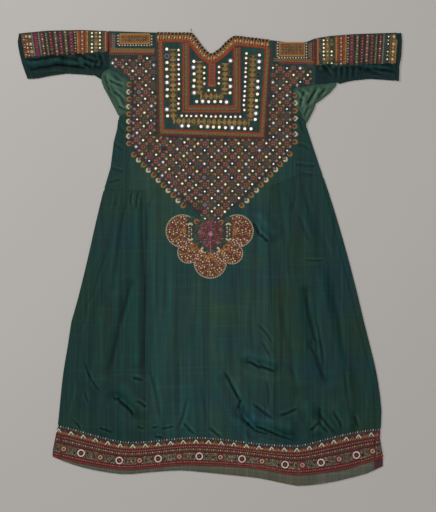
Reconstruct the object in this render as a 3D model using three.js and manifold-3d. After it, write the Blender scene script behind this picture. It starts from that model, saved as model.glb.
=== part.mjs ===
// A woman's festive dress of dark green silk satin, laid out flat, face up, with its sleeves
// spread. The front lies on the back. X runs from sleeve to sleeve, +Y to the neck, +Z up, in
// millimetres. The dress rests on the plane z = 0 and the origin is under the middle of it.

import * as THREE from 'three';
import { mergeVertices } from 'three/addons/utils/BufferGeometryUtils.js';
import Module from 'manifold-3d';

const wasm = await Module();
wasm.setup();

// The cloth and how its layers lie
const WALL = 1.2; // one layer of satin with its inner turnings
const SEAM_GAP = 0.3; // between pieces that are sewn together, and between layers
const THREAD = 0.8; // how thick the worked borders are
const BACK = { low: 0, high: WALL };
const FRONT = { low: WALL + SEAM_GAP, high: 2 * WALL + SEAM_GAP };
const WORKED = { low: FRONT.high + SEAM_GAP, high: FRONT.high + SEAM_GAP + THREAD };

// A side or a sleeve's edge is a fold: the wall runs round from the front to the back
const FOLD_EASE = 0.05; // the fold is this much thinner than the wall on each face
const FOLD_OUTER = FRONT.high / 2 - FOLD_EASE;
const FOLD_INNER = SEAM_GAP / 2 + FOLD_EASE;
const FOLD_TAB = 1; // how far the fold runs into the flat wall
const FOLD_END = 2.5; // a fold stops this far before a seam
const SIDE_TURN = 14; // width of the front gore that turns under at the left side

// Spacing of the points along edges and across the folded cloth
const EDGE_STEP = 34;
const HEM_STEP = 26;
const SKIRT_LATTICE = 26;
const SLEEVE_LATTICE = 15;
const GUSSET_LATTICE = 10;

// Left and right sides of the dress. wrap is the width of the back that comes forward over
// the right side.
const SIDES = [
  { level: 370, left: -241, right: 252, wrap: 3 },
  { level: 340, left: -245, right: 259, wrap: 3 },
  { level: 300, left: -255, right: 272, wrap: 3 },
  { level: 240, left: -262, right: 292, wrap: 3 },
  { level: 180, left: -280, right: 313, wrap: 6 },
  { level: 94, left: -301, right: 340, wrap: 12 },
  { level: -12, left: -325, right: 370, wrap: 16 },
  { level: -118, left: -351, right: 397, wrap: 16 },
  { level: -170, left: -366, right: 409, wrap: 16 },
  { level: -224, left: -374, right: 423, wrap: 16 },
  { level: -309, left: -388, right: 443, wrap: 15 },
  { level: -394, left: -397, right: 455, wrap: 17 },
  { level: -436, left: -401, right: 455, wrap: 16 },
  { level: -470, left: -407, right: 451, wrap: 12 },
  { level: -500, left: -414, right: 455, wrap: 16 },
  { level: -550, left: -418, right: 464, wrap: 25 },
];

// The hem from left to right: top of its border, lower edge of the front, lowest edge
const HEM = [
  { x: -419, top: -444, edge: -527, low: -527 },
  { x: -391, top: -449, edge: -534, low: -538 },
  { x: -343, top: -461, edge: -545, low: -554 },
  { x: -290, top: -476, edge: -555, low: -566 },
  { x: -224, top: -490, edge: -563, low: -574 },
  { x: -158, top: -488, edge: -558, low: -569 },
  { x: -78, top: -480, edge: -550, low: -564 },
  { x: -25, top: -478, edge: -550, low: -568 },
  { x: 54, top: -485, edge: -553, low: -576 },
  { x: 134, top: -495, edge: -560, low: -585 },
  { x: 200, top: -499, edge: -573, low: -599 },
  { x: 240, top: -499, edge: -576, low: -605 },
  { x: 319, top: -479, edge: -568, low: -596 },
  { x: 372, top: -466, edge: -558, low: -584 },
  { x: 425, top: -458, edge: -542, low: -569 },
  { x: 464, top: -455, edge: -531, low: -549 },
];
const HEM_LEFT = -393; // ends of the front border, where the back comes forward
const HEM_RIGHT = 438;

// Seams of the skirt: the centre panel between its two gores
const CENTRE_SEAMS = [
  { level: 190, left: -168, right: 163 },
  { level: 46, left: -167, right: 158 },
  { level: -158, left: -171, right: 167 },
  { level: -224, left: -171, right: 171 },
  { level: -510, left: -171, right: 172 },
];

// Seams of the chest
const CHEST_LEFT = { x: -219, foot: 179 }; // between the chest and the left side piece
const CHEST_RIGHT = { x: 229, foot: 216 };
const SIDE_TOP_LEFT = 368; // levels where the side pieces' folds begin, below the gussets
const SIDE_TOP_RIGHT = 346;
const CENTRE_TOP_LEFT = { x: -168, y: 177 };
const CENTRE_TOP_RIGHT = { x: 163, y: 187 };
const CENTRE_SHOULDER_RIGHT = { x: 211, y: 209 };
const ARMHOLE_LEFT = -268;
const ARMHOLE_RIGHT = 281;

// Upper edges, left and right of the neck
const TOP_LEFT = [
  { x: -505, y: 595 }, { x: -430, y: 601 }, { x: -343, y: 603 }, { x: -268, y: 600 },
  { x: -141, y: 596 },
];
const TOP_RIGHT = [
  { x: 162, y: 576 }, { x: 213, y: 569 }, { x: 234, y: 568 }, { x: 256, y: 571 },
  { x: 281, y: 581 }, { x: 319, y: 587 }, { x: 383, y: 592 }, { x: 508, y: 596 },
];
// The bound edge: left shoulder, down and up the open neck, right shoulder
const NECK_EDGE = [
  { x: -139, y: 596 }, { x: -46, y: 595 }, { x: -36, y: 582 }, { x: -22, y: 563 },
  { x: -9, y: 547 }, { x: 1, y: 540 }, { x: 10, y: 541 }, { x: 28, y: 554 }, { x: 44, y: 571 },
  { x: 60, y: 584 }, { x: 70, y: 587 }, { x: 160, y: 576 },
];
const NECK_FIRST = 1; // rows of NECK_EDGE that are the neck's two corners
const NECK_LAST = 10;
const BINDING = 4; // width of the neck binding
const BINDING_HEIGHT = 3.6;
const NECK_BAND = 15; // width of the worked band round the neck

// Sleeves
const CUFF_LEFT = [
  { x: -508, y: 575 }, { x: -507, y: 560 }, { x: -503, y: 539 }, { x: -497, y: 515 },
  { x: -489, y: 492 }, { x: -482, y: 473 },
];
const CUFF_RIGHT = [
  { x: 510, y: 576 }, { x: 508, y: 534 }, { x: 503, y: 508 }, { x: 502, y: 468 },
];
const CUFF_TOP_LEFT = { x: -505, y: 593 }; // where the cuffs meet the sleeves' upper folds
const CUFF_TOP_RIGHT = { x: 508, y: 595 };
const BINDING_TOP_RIGHT = { x: 501, y: 594.5 }; // inner corner of the right cuff's binding
const UNDER_LEFT = [
  { x: -465, y: 472 }, { x: -423, y: 481 }, { x: -380, y: 487 }, { x: -338, y: 485 },
  { x: -306, y: 482 },
];
const UNDER_RIGHT = [
  { x: 470, y: 470 }, { x: 425, y: 473 }, { x: 383, y: 469 }, { x: 362, y: 465 },
  { x: 343, y: 459 },
];
const CUFF_FACING = { top: 5.5, foot: 20 }; // width of the facing that shows at the left cuff
const CUFF_BINDING = 8; // width of the binding at the right cuff

// Gussets: the seam round the inner side from the sleeve to the side piece, and the free edge
const GUSSET_LEFT = {
  seam: [
    { x: -288, y: 471 }, { x: -285, y: 486 }, { x: -279, y: 494 }, { x: -266, y: 500 },
    { x: -250, y: 492 }, { x: -237, y: 483 }, { x: -221, y: 476 }, { x: -212, y: 466 },
    { x: -212, y: 454 }, { x: -216, y: 431 }, { x: -219, y: 404 }, { x: -219, y: 383 },
    { x: -228, y: 378 }, { x: -240, y: 373 },
  ],
  edge: [{ x: -249, y: 391 }, { x: -264, y: 420 }, { x: -280, y: 449 }],
  corner: 3, // row where the armhole meets the seam
  side: 11, // row where the side piece begins
  inward: -1, // the cloth is on the right of the free edge
};
const GUSSET_RIGHT = {
  seam: [
    { x: 339, y: 463 }, { x: 281, y: 458 }, { x: 232, y: 450 }, { x: 222, y: 446 },
    { x: 224, y: 417 }, { x: 229, y: 396 }, { x: 240, y: 386 }, { x: 245, y: 372 },
    { x: 253, y: 362 }, { x: 257, y: 354 },
  ],
  edge: [
    { x: 276, y: 391 }, { x: 282, y: 408 }, { x: 298, y: 419 }, { x: 319, y: 436 },
    { x: 333, y: 452 },
  ],
  corner: 1,
  side: 5,
  inward: 1,
};

// Worked borders of the chest
const YOKE = {
  left: -140, leftTop: 572, leftFoot: -136, right: 164, rightTop: 552, rightFoot: 148, foot: 324, drop: 10,
};
const YOKE_BORDER = 18;
const YOKE_INNER = { left: -73, leftTop: 568, right: 83, rightTop: 556, foot: 383, border: 21 };
const PLACKET = { left: -4, right: 17, top: 516, foot: 452 };
const BOX_LEFT = { left: -266, right: -143, leftTop: 594, rightTop: 591, foot: 537 };
const BOX_RIGHT = { left: 167, right: 279, inset: 3, leftFoot: 518, rightFoot: 505 };
const TRELLIS_LEFT = [
  { x: -143, y: 534 }, { x: -261, y: 534 }, { x: -261, y: 509 }, { x: -206, y: 471 },
  { x: -207, y: 286 },
];
const TRELLIS_TIP = { x: 7, y: 76 };
const TRELLIS_RIGHT = [
  { x: 219, y: 290 }, { x: 219, y: 448 }, { x: 274, y: 460 }, { x: 274, y: 502 },
  { x: 165, y: 514 },
];
const MEDALLION_LOBES = [
  { x: -72, y: 70, radius: 44 },
  { x: -56, y: 13, radius: 29 },
  { x: 2, y: -12, radius: 44 },
  { x: 60, y: 11, radius: 29 },
  { x: 73, y: 70, radius: 44 },
];
const MEDALLION_HEART = [
  { x: -72, y: 100 }, { x: -72, y: 70 }, { x: -56, y: 13 }, { x: 2, y: -12 }, { x: 60, y: 11 },
  { x: 73, y: 70 }, { x: 73, y: 100 },
];
const LOBE_SIDES = 28;
const SLEEVE_BORDER = {
  start: 1, footGap: 3, leftFoot: 532, leftRise: 13, rightFoot: 509, rightRise: 6,
};

// Folds of the skirt, each along the line from (x1, y1) to (x2, y2): reach is half its width,
// rise is its height over the cloth round it, and a trough's rise is negative.
const LOFT = 4; // how high the front of the skirt stands between its troughs
const FOLDS = [
  { x1: -262, y1: 60, x2: -292, y2: -160, reach: 38, rise: 3 },
  { x1: -228, y1: 150, x2: -254, y2: -73, reach: 28, rise: -3 },
  { x1: -272, y1: 20, x2: -316, y2: -160, reach: 28, rise: -2 },
  { x1: -211, y1: -73, x2: -264, y2: -298, reach: 28, rise: -3.5 },
  { x1: -240, y1: -60, x2: -302, y2: -330, reach: 34, rise: 3 },
  { x1: -190, y1: 110, x2: -192, y2: -270, reach: 28, rise: 3 },
  { x1: -168, y1: 180, x2: -171, y2: -300, reach: 28, rise: -4 },
  { x1: -254, y1: -371, x2: -204, y2: -417, reach: 28, rise: -4 },
  { x1: -226, y1: -348, x2: -180, y2: -404, reach: 28, rise: 5 },
  { x1: -287, y1: -331, x2: -280, y2: -444, reach: 32, rise: 4 },
  { x1: -120, y1: -150, x2: -140, y2: -440, reach: 34, rise: 3 },
  { x1: -52, y1: -120, x2: -60, y2: -430, reach: 40, rise: 2.5 },
  { x1: 20, y1: -60, x2: 20, y2: -260, reach: 34, rise: 2 },
  { x1: 41, y1: -325, x2: 77, y2: -411, reach: 28, rise: -4 },
  { x1: 77, y1: -411, x2: 114, y2: -464, reach: 28, rise: -4 },
  { x1: 74, y1: -330, x2: 112, y2: -416, reach: 28, rise: 4 },
  { x1: 120, y1: -430, x2: 206, y2: -448, reach: 28, rise: 7 },
  { x1: 116, y1: -466, x2: 220, y2: -484, reach: 28, rise: -4 },
  { x1: 101, y1: -280, x2: 170, y2: -302, reach: 28, rise: -4 },
  { x1: 100, y1: -258, x2: 165, y2: -276, reach: 28, rise: 4 },
  { x1: 114, y1: 93, x2: 157, y2: 43, reach: 28, rise: -3 },
  { x1: 132, y1: 104, x2: 168, y2: 66, reach: 28, rise: 4 },
  { x1: 220, y1: 190, x2: 222, y2: 100, reach: 28, rise: -2 },
  { x1: 256, y1: -93, x2: 276, y2: -232, reach: 28, rise: -4 },
  { x1: 276, y1: -232, x2: 299, y2: -325, reach: 28, rise: -4 },
  { x1: 304, y1: -60, x2: 336, y2: -330, reach: 42, rise: 4 },
  { x1: 222, y1: -60, x2: 240, y2: -330, reach: 36, rise: 3.5 },
  { x1: 290, y1: -417, x2: 332, y2: -464, reach: 28, rise: -4 },
  { x1: 256, y1: -400, x2: 284, y2: -452, reach: 28, rise: 5 },
  { x1: 334, y1: -400, x2: 366, y2: -440, reach: 30, rise: 4 },
];
const SIDE_FLAT = 38; // the cloth lies flat this near to a side
const SIDE_FULL = 80;
const CHEST_FLAT = 190; // the chest lies flat above this level
const CHEST_FULL = 90;
const HEM_FULL = -430; // the loft falls to HEM_SHARE of itself below the border's top
const HEM_REST = -500;
const HEM_SHARE = 0.45;

// Folds of the sleeves
const SLEEVE_FOLDS = [
  { x1: -452, y1: 506, x2: -320, y2: 516, reach: 22, rise: 4 },
  { x1: -440, y1: 556, x2: -330, y2: 560, reach: 26, rise: 1.6 },
  { x1: 420, y1: 556, x2: 330, y2: 548, reach: 26, rise: 1.6 },
  { x1: 466, y1: 498, x2: 404, y2: 500, reach: 20, rise: 3 },
];
const SLEEVE_FLAT = 16;
const SLEEVE_FULL = 30;
const GATHERS = { from: 295, to: 402, low: 472, high: 500, spacing: 30, rise: 3 };
const GUSSET_PUCKER = { rise: 3.6, spacing: 24, flat: 11, full: 24 };

// Colours of the cloth and of the worked borders
function clothMaterial(color, roughness) {
  return new THREE.MeshStandardMaterial({ color, roughness, metalness: 0 });
}

const SATIN = clothMaterial(0x26403a, 0.45);
const SATIN_GORE = clothMaterial(0x223833, 0.45);
const SATIN_PALE = clothMaterial(0x4a6c5e, 0.4);
const SATIN_SLEEVE = clothMaterial(0x162726, 0.45);
const OCHRE_WORK = clothMaterial(0x8a6238, 0.8);
const RED_WORK = clothMaterial(0x7c4a3a, 0.8);
const TRELLIS_WORK = clothMaterial(0x61594a, 0.8);
const HEM_WORK = clothMaterial(0x5a4440, 0.85);
const FACING = clothMaterial(0x4b4a41, 0.9);

// Lines and outlines

function points(rows) {
  return rows.map((row) => new THREE.Vector2(row.x, row.y));
}

/** A smooth value of one column of a table, read at a value of its key column. */
function readTable(table, key, column, at) {
  const rows = [...table].sort((a, b) => a[key] - b[key]);
  const last = rows.length - 1;
  const slope = (i) => {
    const a = rows[Math.max(i - 1, 0)];
    const b = rows[Math.min(i + 1, last)];
    return (b[column] - a[column]) / (b[key] - a[key]);
  };
  let i = rows.findIndex((row) => row[key] > at) - 1;
  if (i < 0) i = at <= rows[0][key] ? 0 : last - 1;
  const span = rows[i + 1][key] - rows[i][key];
  const t = THREE.MathUtils.clamp((at - rows[i][key]) / span, 0, 1);
  const from = rows[i][column];
  const to = rows[i + 1][column];
  const rise = to - from;
  const bendA = slope(i) * span - rise;
  const bendB = -slope(i + 1) * span + rise;
  return from + rise * t + t * (1 - t) * (bendA * (1 - t) + bendB * t);
}

/** The same value, but straight between regular stops, so that neighbours share an edge. */
function readStops(table, key, column, at, step) {
  const before = Math.floor(at / step) * step;
  const near = readTable(table, key, column, before);
  const far = readTable(table, key, column, before + step);
  return THREE.MathUtils.lerp(near, far, (at - before) / step);
}

/** Numbers from one to another, both included, with the whole steps between them. */
function stops(from, to, step) {
  const low = Math.min(from, to);
  const high = Math.max(from, to);
  const list = [low];
  for (let at = (Math.floor(low / step) + 1) * step; at < high - 1; at += step) {
    if (at > low + 1) list.push(at);
  }
  list.push(high);
  return from <= to ? list : list.reverse();
}

/** A line down or up the dress, read from a table by its levels. */
function sideLine(column, from, to, table = SIDES) {
  return stops(from, to, EDGE_STEP).map(
    (level) => new THREE.Vector2(readStops(table, 'level', column, level, EDGE_STEP), level),
  );
}

/** The height of one of the hem's lines. */
function hemAt(column, x) {
  return readStops(HEM, 'x', column, x, HEM_STEP);
}

/** A line across the dress, read from the hem table. */
function hemLine(column, from, to) {
  return stops(from, to, HEM_STEP).map((x) => new THREE.Vector2(x, hemAt(column, x)));
}

/** A line moved sideways, to the left of its own direction. */
function offsetLine(line, by, closed = false) {
  const count = line.length;
  const directionAfter = (i) => {
    if (!closed && (i < 0 || i >= count - 1)) return null;
    const here = line[(i + count) % count];
    return line[(i + 1) % count].clone().sub(here).normalize();
  };
  return line.map((point, i) => {
    const after = directionAfter(i) ?? directionAfter(i - 1);
    const before = directionAfter(i - 1) ?? after;
    const along = before.clone().add(after).normalize();
    const left = new THREE.Vector2(-along.y, along.x);
    const reach = by / Math.max(0.4, left.dot(new THREE.Vector2(-after.y, after.x)));
    return point.clone().addScaledVector(left, reach);
  });
}

/** A closed outline drawn in by half a seam gap. */
function pieceOutline(line) {
  const inward = THREE.ShapeUtils.isClockWise(line) ? -1 : 1;
  return offsetLine(line, (inward * SEAM_GAP) / 2, true);
}

/** The outline of a strip between two distances to the right of a line. */
function ribbon(line, near, far) {
  return [...offsetLine(line, -near), ...offsetLine(line, -far).reverse()];
}

/** A line without its first and last few millimetres. */
function trimmed(line, by) {
  const ends = line.map((point) => point.clone());
  const last = ends.length - 1;
  ends[0].add(ends[1].clone().sub(ends[0]).setLength(by));
  ends[last].add(ends[last - 1].clone().sub(ends[last]).setLength(by));
  return ends;
}

// Solids

function solidFrom(geometry) {
  geometry.deleteAttribute('normal');
  geometry.deleteAttribute('uv');
  const merged = mergeVertices(geometry, 1e-4);
  return new wasm.Manifold(
    new wasm.Mesh({
      numProp: 3,
      vertProperties: new Float32Array(merged.attributes.position.array),
      triVerts: new Uint32Array(merged.index.array),
    }),
  );
}

function geometryFrom(positions, faces) {
  const geometry = new THREE.BufferGeometry();
  geometry.setAttribute('position', new THREE.Float32BufferAttribute(positions, 3));
  geometry.setIndex(faces);
  return geometry;
}

/** A flat wall of one outline between two heights. */
function flatWall(outline, { low, high }) {
  const shape = new THREE.Shape(outline);
  const geometry = new THREE.ExtrudeGeometry(shape, { depth: high - low, bevelEnabled: false });
  return solidFrom(geometry.translate(0, 0, low));
}

/** A wall over a whole cloth, bent to its folds: both faces carry the same points. */
function bentWall(cloth, { low, high }) {
  const columns = Math.ceil((cloth.right - cloth.left) / cloth.lattice);
  const rows = Math.ceil((cloth.top - cloth.foot) / cloth.lattice);
  const face = (columns + 1) * (rows + 1);
  const positions = [];
  for (const height of [high, low]) {
    for (let j = 0; j <= rows; j += 1) {
      for (let i = 0; i <= columns; i += 1) {
        const x = cloth.left + i * cloth.lattice;
        const y = cloth.foot + j * cloth.lattice;
        positions.push(x, y, height + cloth.lift(x, y));
      }
    }
  }
  const at = (i, j) => j * (columns + 1) + i;
  const faces = [];
  for (let j = 0; j < rows; j += 1) {
    for (let i = 0; i < columns; i += 1) {
      const [a, b, c, d] = [at(i, j), at(i + 1, j), at(i + 1, j + 1), at(i, j + 1)];
      faces.push(a, b, c, a, c, d);
      faces.push(face + a, face + c, face + b, face + a, face + d, face + c);
    }
  }
  const wall = (a, b) => faces.push(a, face + a, face + b, a, face + b, b);
  for (let i = 0; i < columns; i += 1) {
    wall(at(i, 0), at(i + 1, 0));
    wall(at(i + 1, rows), at(i, rows));
  }
  for (let j = 0; j < rows; j += 1) {
    wall(at(columns, j), at(columns, j + 1));
    wall(at(0, j + 1), at(0, j));
  }
  return solidFrom(geometryFrom(positions, faces));
}

const BELOW = -5; // outlines cut a bent wall from here
const ABOVE = 60; // to here

/** The part of a bent wall inside one outline. */
function clothPiece(cloth, layer, outline) {
  const key = `${layer.low} ${layer.high}`;
  cloth.walls ??= new Map();
  if (!cloth.walls.has(key)) cloth.walls.set(key, bentWall(cloth, layer));
  return cloth.walls.get(key).intersect(flatWall(outline, { low: BELOW, high: ABOVE }));
}

/** The section of a fold: distance outward, then height, round the wall. */
function foldSection() {
  const middle = FRONT.high / 2;
  const arc = (radius, from, to, count) =>
    Array.from({ length: count + 1 }, (_, i) => {
      const angle = from + ((to - from) * i) / count;
      return new THREE.Vector2(radius * Math.cos(angle), middle + radius * Math.sin(angle));
    });
  const quarter = Math.PI / 2;
  const outer = arc(FOLD_OUTER, quarter, -quarter, 3);
  const inner = arc(FOLD_INNER, -quarter, quarter, 1);
  const tab = (point) => new THREE.Vector2(-FOLD_TAB, point.y);
  const outside = [tab(outer[0]), ...outer, tab(outer.at(-1))];
  const inside = [tab(inner[0]), ...inner, tab(inner.at(-1))];
  return [...outside, ...inside].reverse();
}

/** A fold along an edge: the line runs with the cloth on its right. */
function fold(edge) {
  const line = trimmed(edge, FOLD_END);
  const section = foldSection();
  const positions = [];
  const rings = section.map((point) => offsetLine(line, point.x));
  for (let i = 0; i < line.length; i += 1) {
    section.forEach((point, k) => positions.push(rings[k][i].x, rings[k][i].y, point.y));
  }
  const size = section.length;
  const faces = [];
  for (let i = 0; i + 1 < line.length; i += 1) {
    for (let k = 0; k < size; k += 1) {
      const [a, b] = [i * size + k, i * size + ((k + 1) % size)];
      faces.push(a, a + size, b + size, a, b + size, b);
    }
  }
  const last = (line.length - 1) * size;
  for (const [a, b, c] of THREE.ShapeUtils.triangulateShape(section, [])) {
    faces.push(a, b, c, last + a, last + c, last + b);
  }
  const solid = solidFrom(geometryFrom(positions, faces));
  if (solid.volume() > 0) return solid;
  for (let i = 0; i < faces.length; i += 3) [faces[i], faces[i + 1]] = [faces[i + 1], faces[i]];
  return solidFrom(geometryFrom(positions, faces));
}

// How high the folded cloth stands

function distanceToLine(x, y, row) {
  const along = new THREE.Vector2(row.x2 - row.x1, row.y2 - row.y1);
  const to = new THREE.Vector2(x - row.x1, y - row.y1);
  const t = THREE.MathUtils.clamp(to.dot(along) / along.lengthSq(), 0, 1);
  return to.addScaledVector(along, -t).length();
}

function foldsAt(x, y, table) {
  return table.reduce((sum, row) => {
    const share = Math.min(distanceToLine(x, y, row) / row.reach, 1);
    return sum + (row.rise * (1 + Math.cos(Math.PI * share))) / 2;
  }, 0);
}

const rising = THREE.MathUtils.smoothstep;

function skirtLift(x, y) {
  const left = readTable(SIDES, 'level', 'left', y);
  const right = readTable(SIDES, 'level', 'right', y) - readTable(SIDES, 'level', 'wrap', y);
  const inside = rising(Math.min(x - left, right - x), SIDE_FLAT, SIDE_FULL);
  const below = 1 - rising(y, CHEST_FULL, CHEST_FLAT);
  const atHem = 1 - (1 - HEM_SHARE) * (1 - rising(y, HEM_REST, HEM_FULL));
  return Math.max(0, inside * (LOFT * below * atHem + foldsAt(x, y, FOLDS)));
}

function sleeveLift(x, y) {
  const top = x < 0 ? TOP_LEFT : TOP_RIGHT;
  const under = x < 0 ? UNDER_LEFT : UNDER_RIGHT;
  const edge = Math.min(readTable(top, 'x', 'y', x) - y, y - readTable(under, 'x', 'y', x));
  const inside = rising(edge, SLEEVE_FLAT, SLEEVE_FULL);
  const gathered = x > GATHERS.from && x < GATHERS.to && y > GATHERS.low && y < GATHERS.high;
  const wave = gathered ? GATHERS.rise * (1 + Math.cos((2 * Math.PI * x) / GATHERS.spacing)) / 2 : 0;
  return Math.max(0, inside * (foldsAt(x, y, SLEEVE_FOLDS) + wave));
}

/** Puckers that run from a gusset's free edge to its far corner. */
function gussetLift(outline, edge, x, y) {
  const rows = (line) => line.slice(1).map((point, i) => ({
    x1: line[i].x, y1: line[i].y, x2: point.x, y2: point.y,
  }));
  const distance = (line) => Math.min(...rows(line).map((row) => distanceToLine(x, y, row)));
  const inside = rising(distance([...outline, outline[0]]), 0, GUSSET_PUCKER.full);
  const clear = rising(distance(edge), GUSSET_PUCKER.flat, GUSSET_PUCKER.full);
  const wave = 1 + Math.cos((2 * Math.PI * (x * 0.8 + y * 0.6)) / GUSSET_PUCKER.spacing);
  return (GUSSET_PUCKER.rise * inside * clear * wave) / 2;
}

const SKIRT = {
  left: -520, right: 520, foot: -620, top: 620, lattice: SKIRT_LATTICE, lift: skirtLift,
};
const SLEEVE_CLOTH_LEFT = {
  left: -520, right: -256, foot: 450, top: 620, lattice: SLEEVE_LATTICE, lift: sleeveLift,
};
const SLEEVE_CLOTH_RIGHT = {
  left: 264, right: 528, foot: 448, top: 620, lattice: SLEEVE_LATTICE, lift: sleeveLift,
};

// Outlines that more than one piece shares

const neckPath = points(NECK_EDGE);
const neckInner = offsetLine(neckPath, -BINDING);

/** The line of a gusset's fold, from the side piece to the sleeve, inside its free edge. */
function gussetEdge(gusset) {
  const seam = points(gusset.seam);
  const free = [seam.at(-1), ...points(gusset.edge), seam[0]];
  return offsetLine(free, gusset.inward * FOLD_OUTER);
}

/** A gusset's seam between two of its rows, which ends where the fold begins. */
function gussetSeam(gusset, from, to = gusset.seam.length - 1) {
  const edge = gussetEdge(gusset);
  const seam = points(gusset.seam);
  seam[0] = edge.at(-1);
  seam[seam.length - 1] = edge[0];
  return seam.slice(from, to + 1);
}

/** The chest and the centre of the skirt, alike on the front and the back. */
function bodyOutline() {
  const gussetLeft = gussetSeam(GUSSET_LEFT, GUSSET_LEFT.corner, GUSSET_LEFT.side);
  const gussetRight = gussetSeam(GUSSET_RIGHT, GUSSET_RIGHT.corner, GUSSET_RIGHT.side);
  const leftFoot = hemAt('top', CENTRE_SEAMS.at(-1).left);
  const rightFoot = hemAt('top', CENTRE_SEAMS.at(-1).right);
  const topRight = points(TOP_RIGHT).filter((point) => point.x <= ARMHOLE_RIGHT);
  return [
    ...neckInner.slice().reverse(),
    ...points(TOP_LEFT).slice(-2).reverse(),
    ...gussetLeft,
    new THREE.Vector2(CHEST_LEFT.x, CHEST_LEFT.foot),
    ...sideLine('left', CENTRE_TOP_LEFT.y, leftFoot, CENTRE_SEAMS),
    ...hemLine('top', CENTRE_SEAMS.at(-1).left, CENTRE_SEAMS.at(-1).right).slice(1, -1),
    ...sideLine('right', rightFoot, CENTRE_TOP_RIGHT.y, CENTRE_SEAMS),
    new THREE.Vector2(CENTRE_SHOULDER_RIGHT.x, CENTRE_SHOULDER_RIGHT.y),
    new THREE.Vector2(CHEST_RIGHT.x, CHEST_RIGHT.foot),
    ...gussetRight.reverse(),
    ...topRight.reverse(),
  ];
}

/** The left gore from an edge that is inset from the side of the dress. */
function goreLeftOutline(inset) {
  const foot = hemAt('top', SIDES.at(-3).left);
  const edge = sideLine('left', CHEST_LEFT.foot, foot).map((p) => p.setX(p.x + inset));
  const seamFoot = hemAt('top', CENTRE_SEAMS.at(-1).left);
  return [
    ...edge,
    ...hemLine('top', edge.at(-1).x, CENTRE_SEAMS.at(-1).left).slice(1, -1),
    ...sideLine('left', seamFoot, CENTRE_TOP_LEFT.y, CENTRE_SEAMS),
    new THREE.Vector2(CHEST_LEFT.x, CHEST_LEFT.foot),
  ];
}

/** The right gore up to an edge line. */
function goreRightOutline(edge) {
  const seamFoot = hemAt('top', CENTRE_SEAMS.at(-1).right);
  return [
    ...edge,
    ...hemLine('top', edge.at(-1).x, CENTRE_SEAMS.at(-1).right).slice(1, -1),
    ...sideLine('right', seamFoot, CENTRE_TOP_RIGHT.y, CENTRE_SEAMS),
    new THREE.Vector2(CENTRE_SHOULDER_RIGHT.x, CENTRE_SHOULDER_RIGHT.y),
    new THREE.Vector2(CHEST_RIGHT.x, CHEST_RIGHT.foot),
  ];
}

/** The right side of the skirt, moved in by a distance or by the wrap's own width. */
function rightEdge(from, to, inset) {
  return sideLine('right', from, to).map((point) => {
    const by = inset ?? readStops(SIDES, 'level', 'wrap', point.y, EDGE_STEP);
    return point.setX(point.x - by);
  });
}

function shifted(line, by) {
  return line.map((point) => new THREE.Vector2(point.x + by, point.y));
}

// The pieces

const dress = new THREE.Group();

function add(name, solid, material) {
  const mesh = solid.getMesh();
  const positions = [];
  for (let i = 0; i < mesh.vertProperties.length; i += mesh.numProp) {
    positions.push(...mesh.vertProperties.subarray(i, i + 3));
  }
  const geometry = geometryFrom(positions, [...mesh.triVerts]);
  geometry.computeVertexNormals();
  const piece = new THREE.Mesh(geometry, material);
  piece.name = name;
  dress.add(piece);
}

function addBody() {
  const outline = pieceOutline(bodyOutline());
  add('front_body', clothPiece(SKIRT, FRONT, outline), SATIN);
  add('back_body', flatWall(outline, BACK), SATIN);
}

/** A side piece runs from the chest round the side to the back. */
function addSides() {
  const gussetLeft = gussetSeam(GUSSET_LEFT, GUSSET_LEFT.side);
  const leftEdge = shifted(sideLine('left', SIDE_TOP_LEFT, CHEST_LEFT.foot), FOLD_OUTER);
  const left = pieceOutline([
    ...gussetLeft, ...leftEdge, new THREE.Vector2(CHEST_LEFT.x, CHEST_LEFT.foot),
  ]);
  const leftLayers = flatWall(left, FRONT).add(flatWall(left, BACK));
  add('side_left', leftLayers.add(fold(leftEdge.reverse())), SATIN_GORE);

  const gussetRight = gussetSeam(GUSSET_RIGHT, GUSSET_RIGHT.side);
  const rightEdgeLine = shifted(sideLine('right', SIDE_TOP_RIGHT, CHEST_RIGHT.foot), -FOLD_OUTER);
  const right = pieceOutline([
    ...gussetRight, ...rightEdgeLine, new THREE.Vector2(CHEST_RIGHT.x, CHEST_RIGHT.foot),
  ]);
  const rightLayers = flatWall(right, FRONT).add(flatWall(right, BACK));
  add('side_right', rightLayers.add(fold(rightEdgeLine)), SATIN_GORE);
}

function addGores() {
  const outline = goreLeftOutline(FOLD_OUTER);
  const foot = hemAt('top', SIDES.at(-3).left);
  const edge = shifted(sideLine('left', CHEST_LEFT.foot, foot), FOLD_OUTER);
  const turn = pieceOutline([...edge, ...shifted(edge, SIDE_TURN - FOLD_OUTER).reverse()]);
  const front = clothPiece(SKIRT, FRONT, pieceOutline(outline));
  add('front_gore_left', front.add(flatWall(turn, BACK)).add(fold(edge.reverse())), SATIN_GORE);
  add('back_gore_left', flatWall(pieceOutline(goreLeftOutline(SIDE_TURN)), BACK), SATIN_GORE);

  const footRight = hemAt('top', SIDES.at(-3).right);
  const side = rightEdge(CHEST_RIGHT.foot, footRight, FOLD_OUTER);
  const seam = rightEdge(CHEST_RIGHT.foot, footRight);
  const wrap = pieceOutline([...side, ...seam.slice().reverse()]);
  const back = flatWall(pieceOutline(goreRightOutline(side)), BACK);
  const frontRight = pieceOutline(goreRightOutline(seam));
  add('front_gore_right', clothPiece(SKIRT, FRONT, frontRight), SATIN_GORE);
  add('back_gore_right', back.add(flatWall(wrap, FRONT)).add(fold(side)), SATIN_GORE);
}

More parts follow.
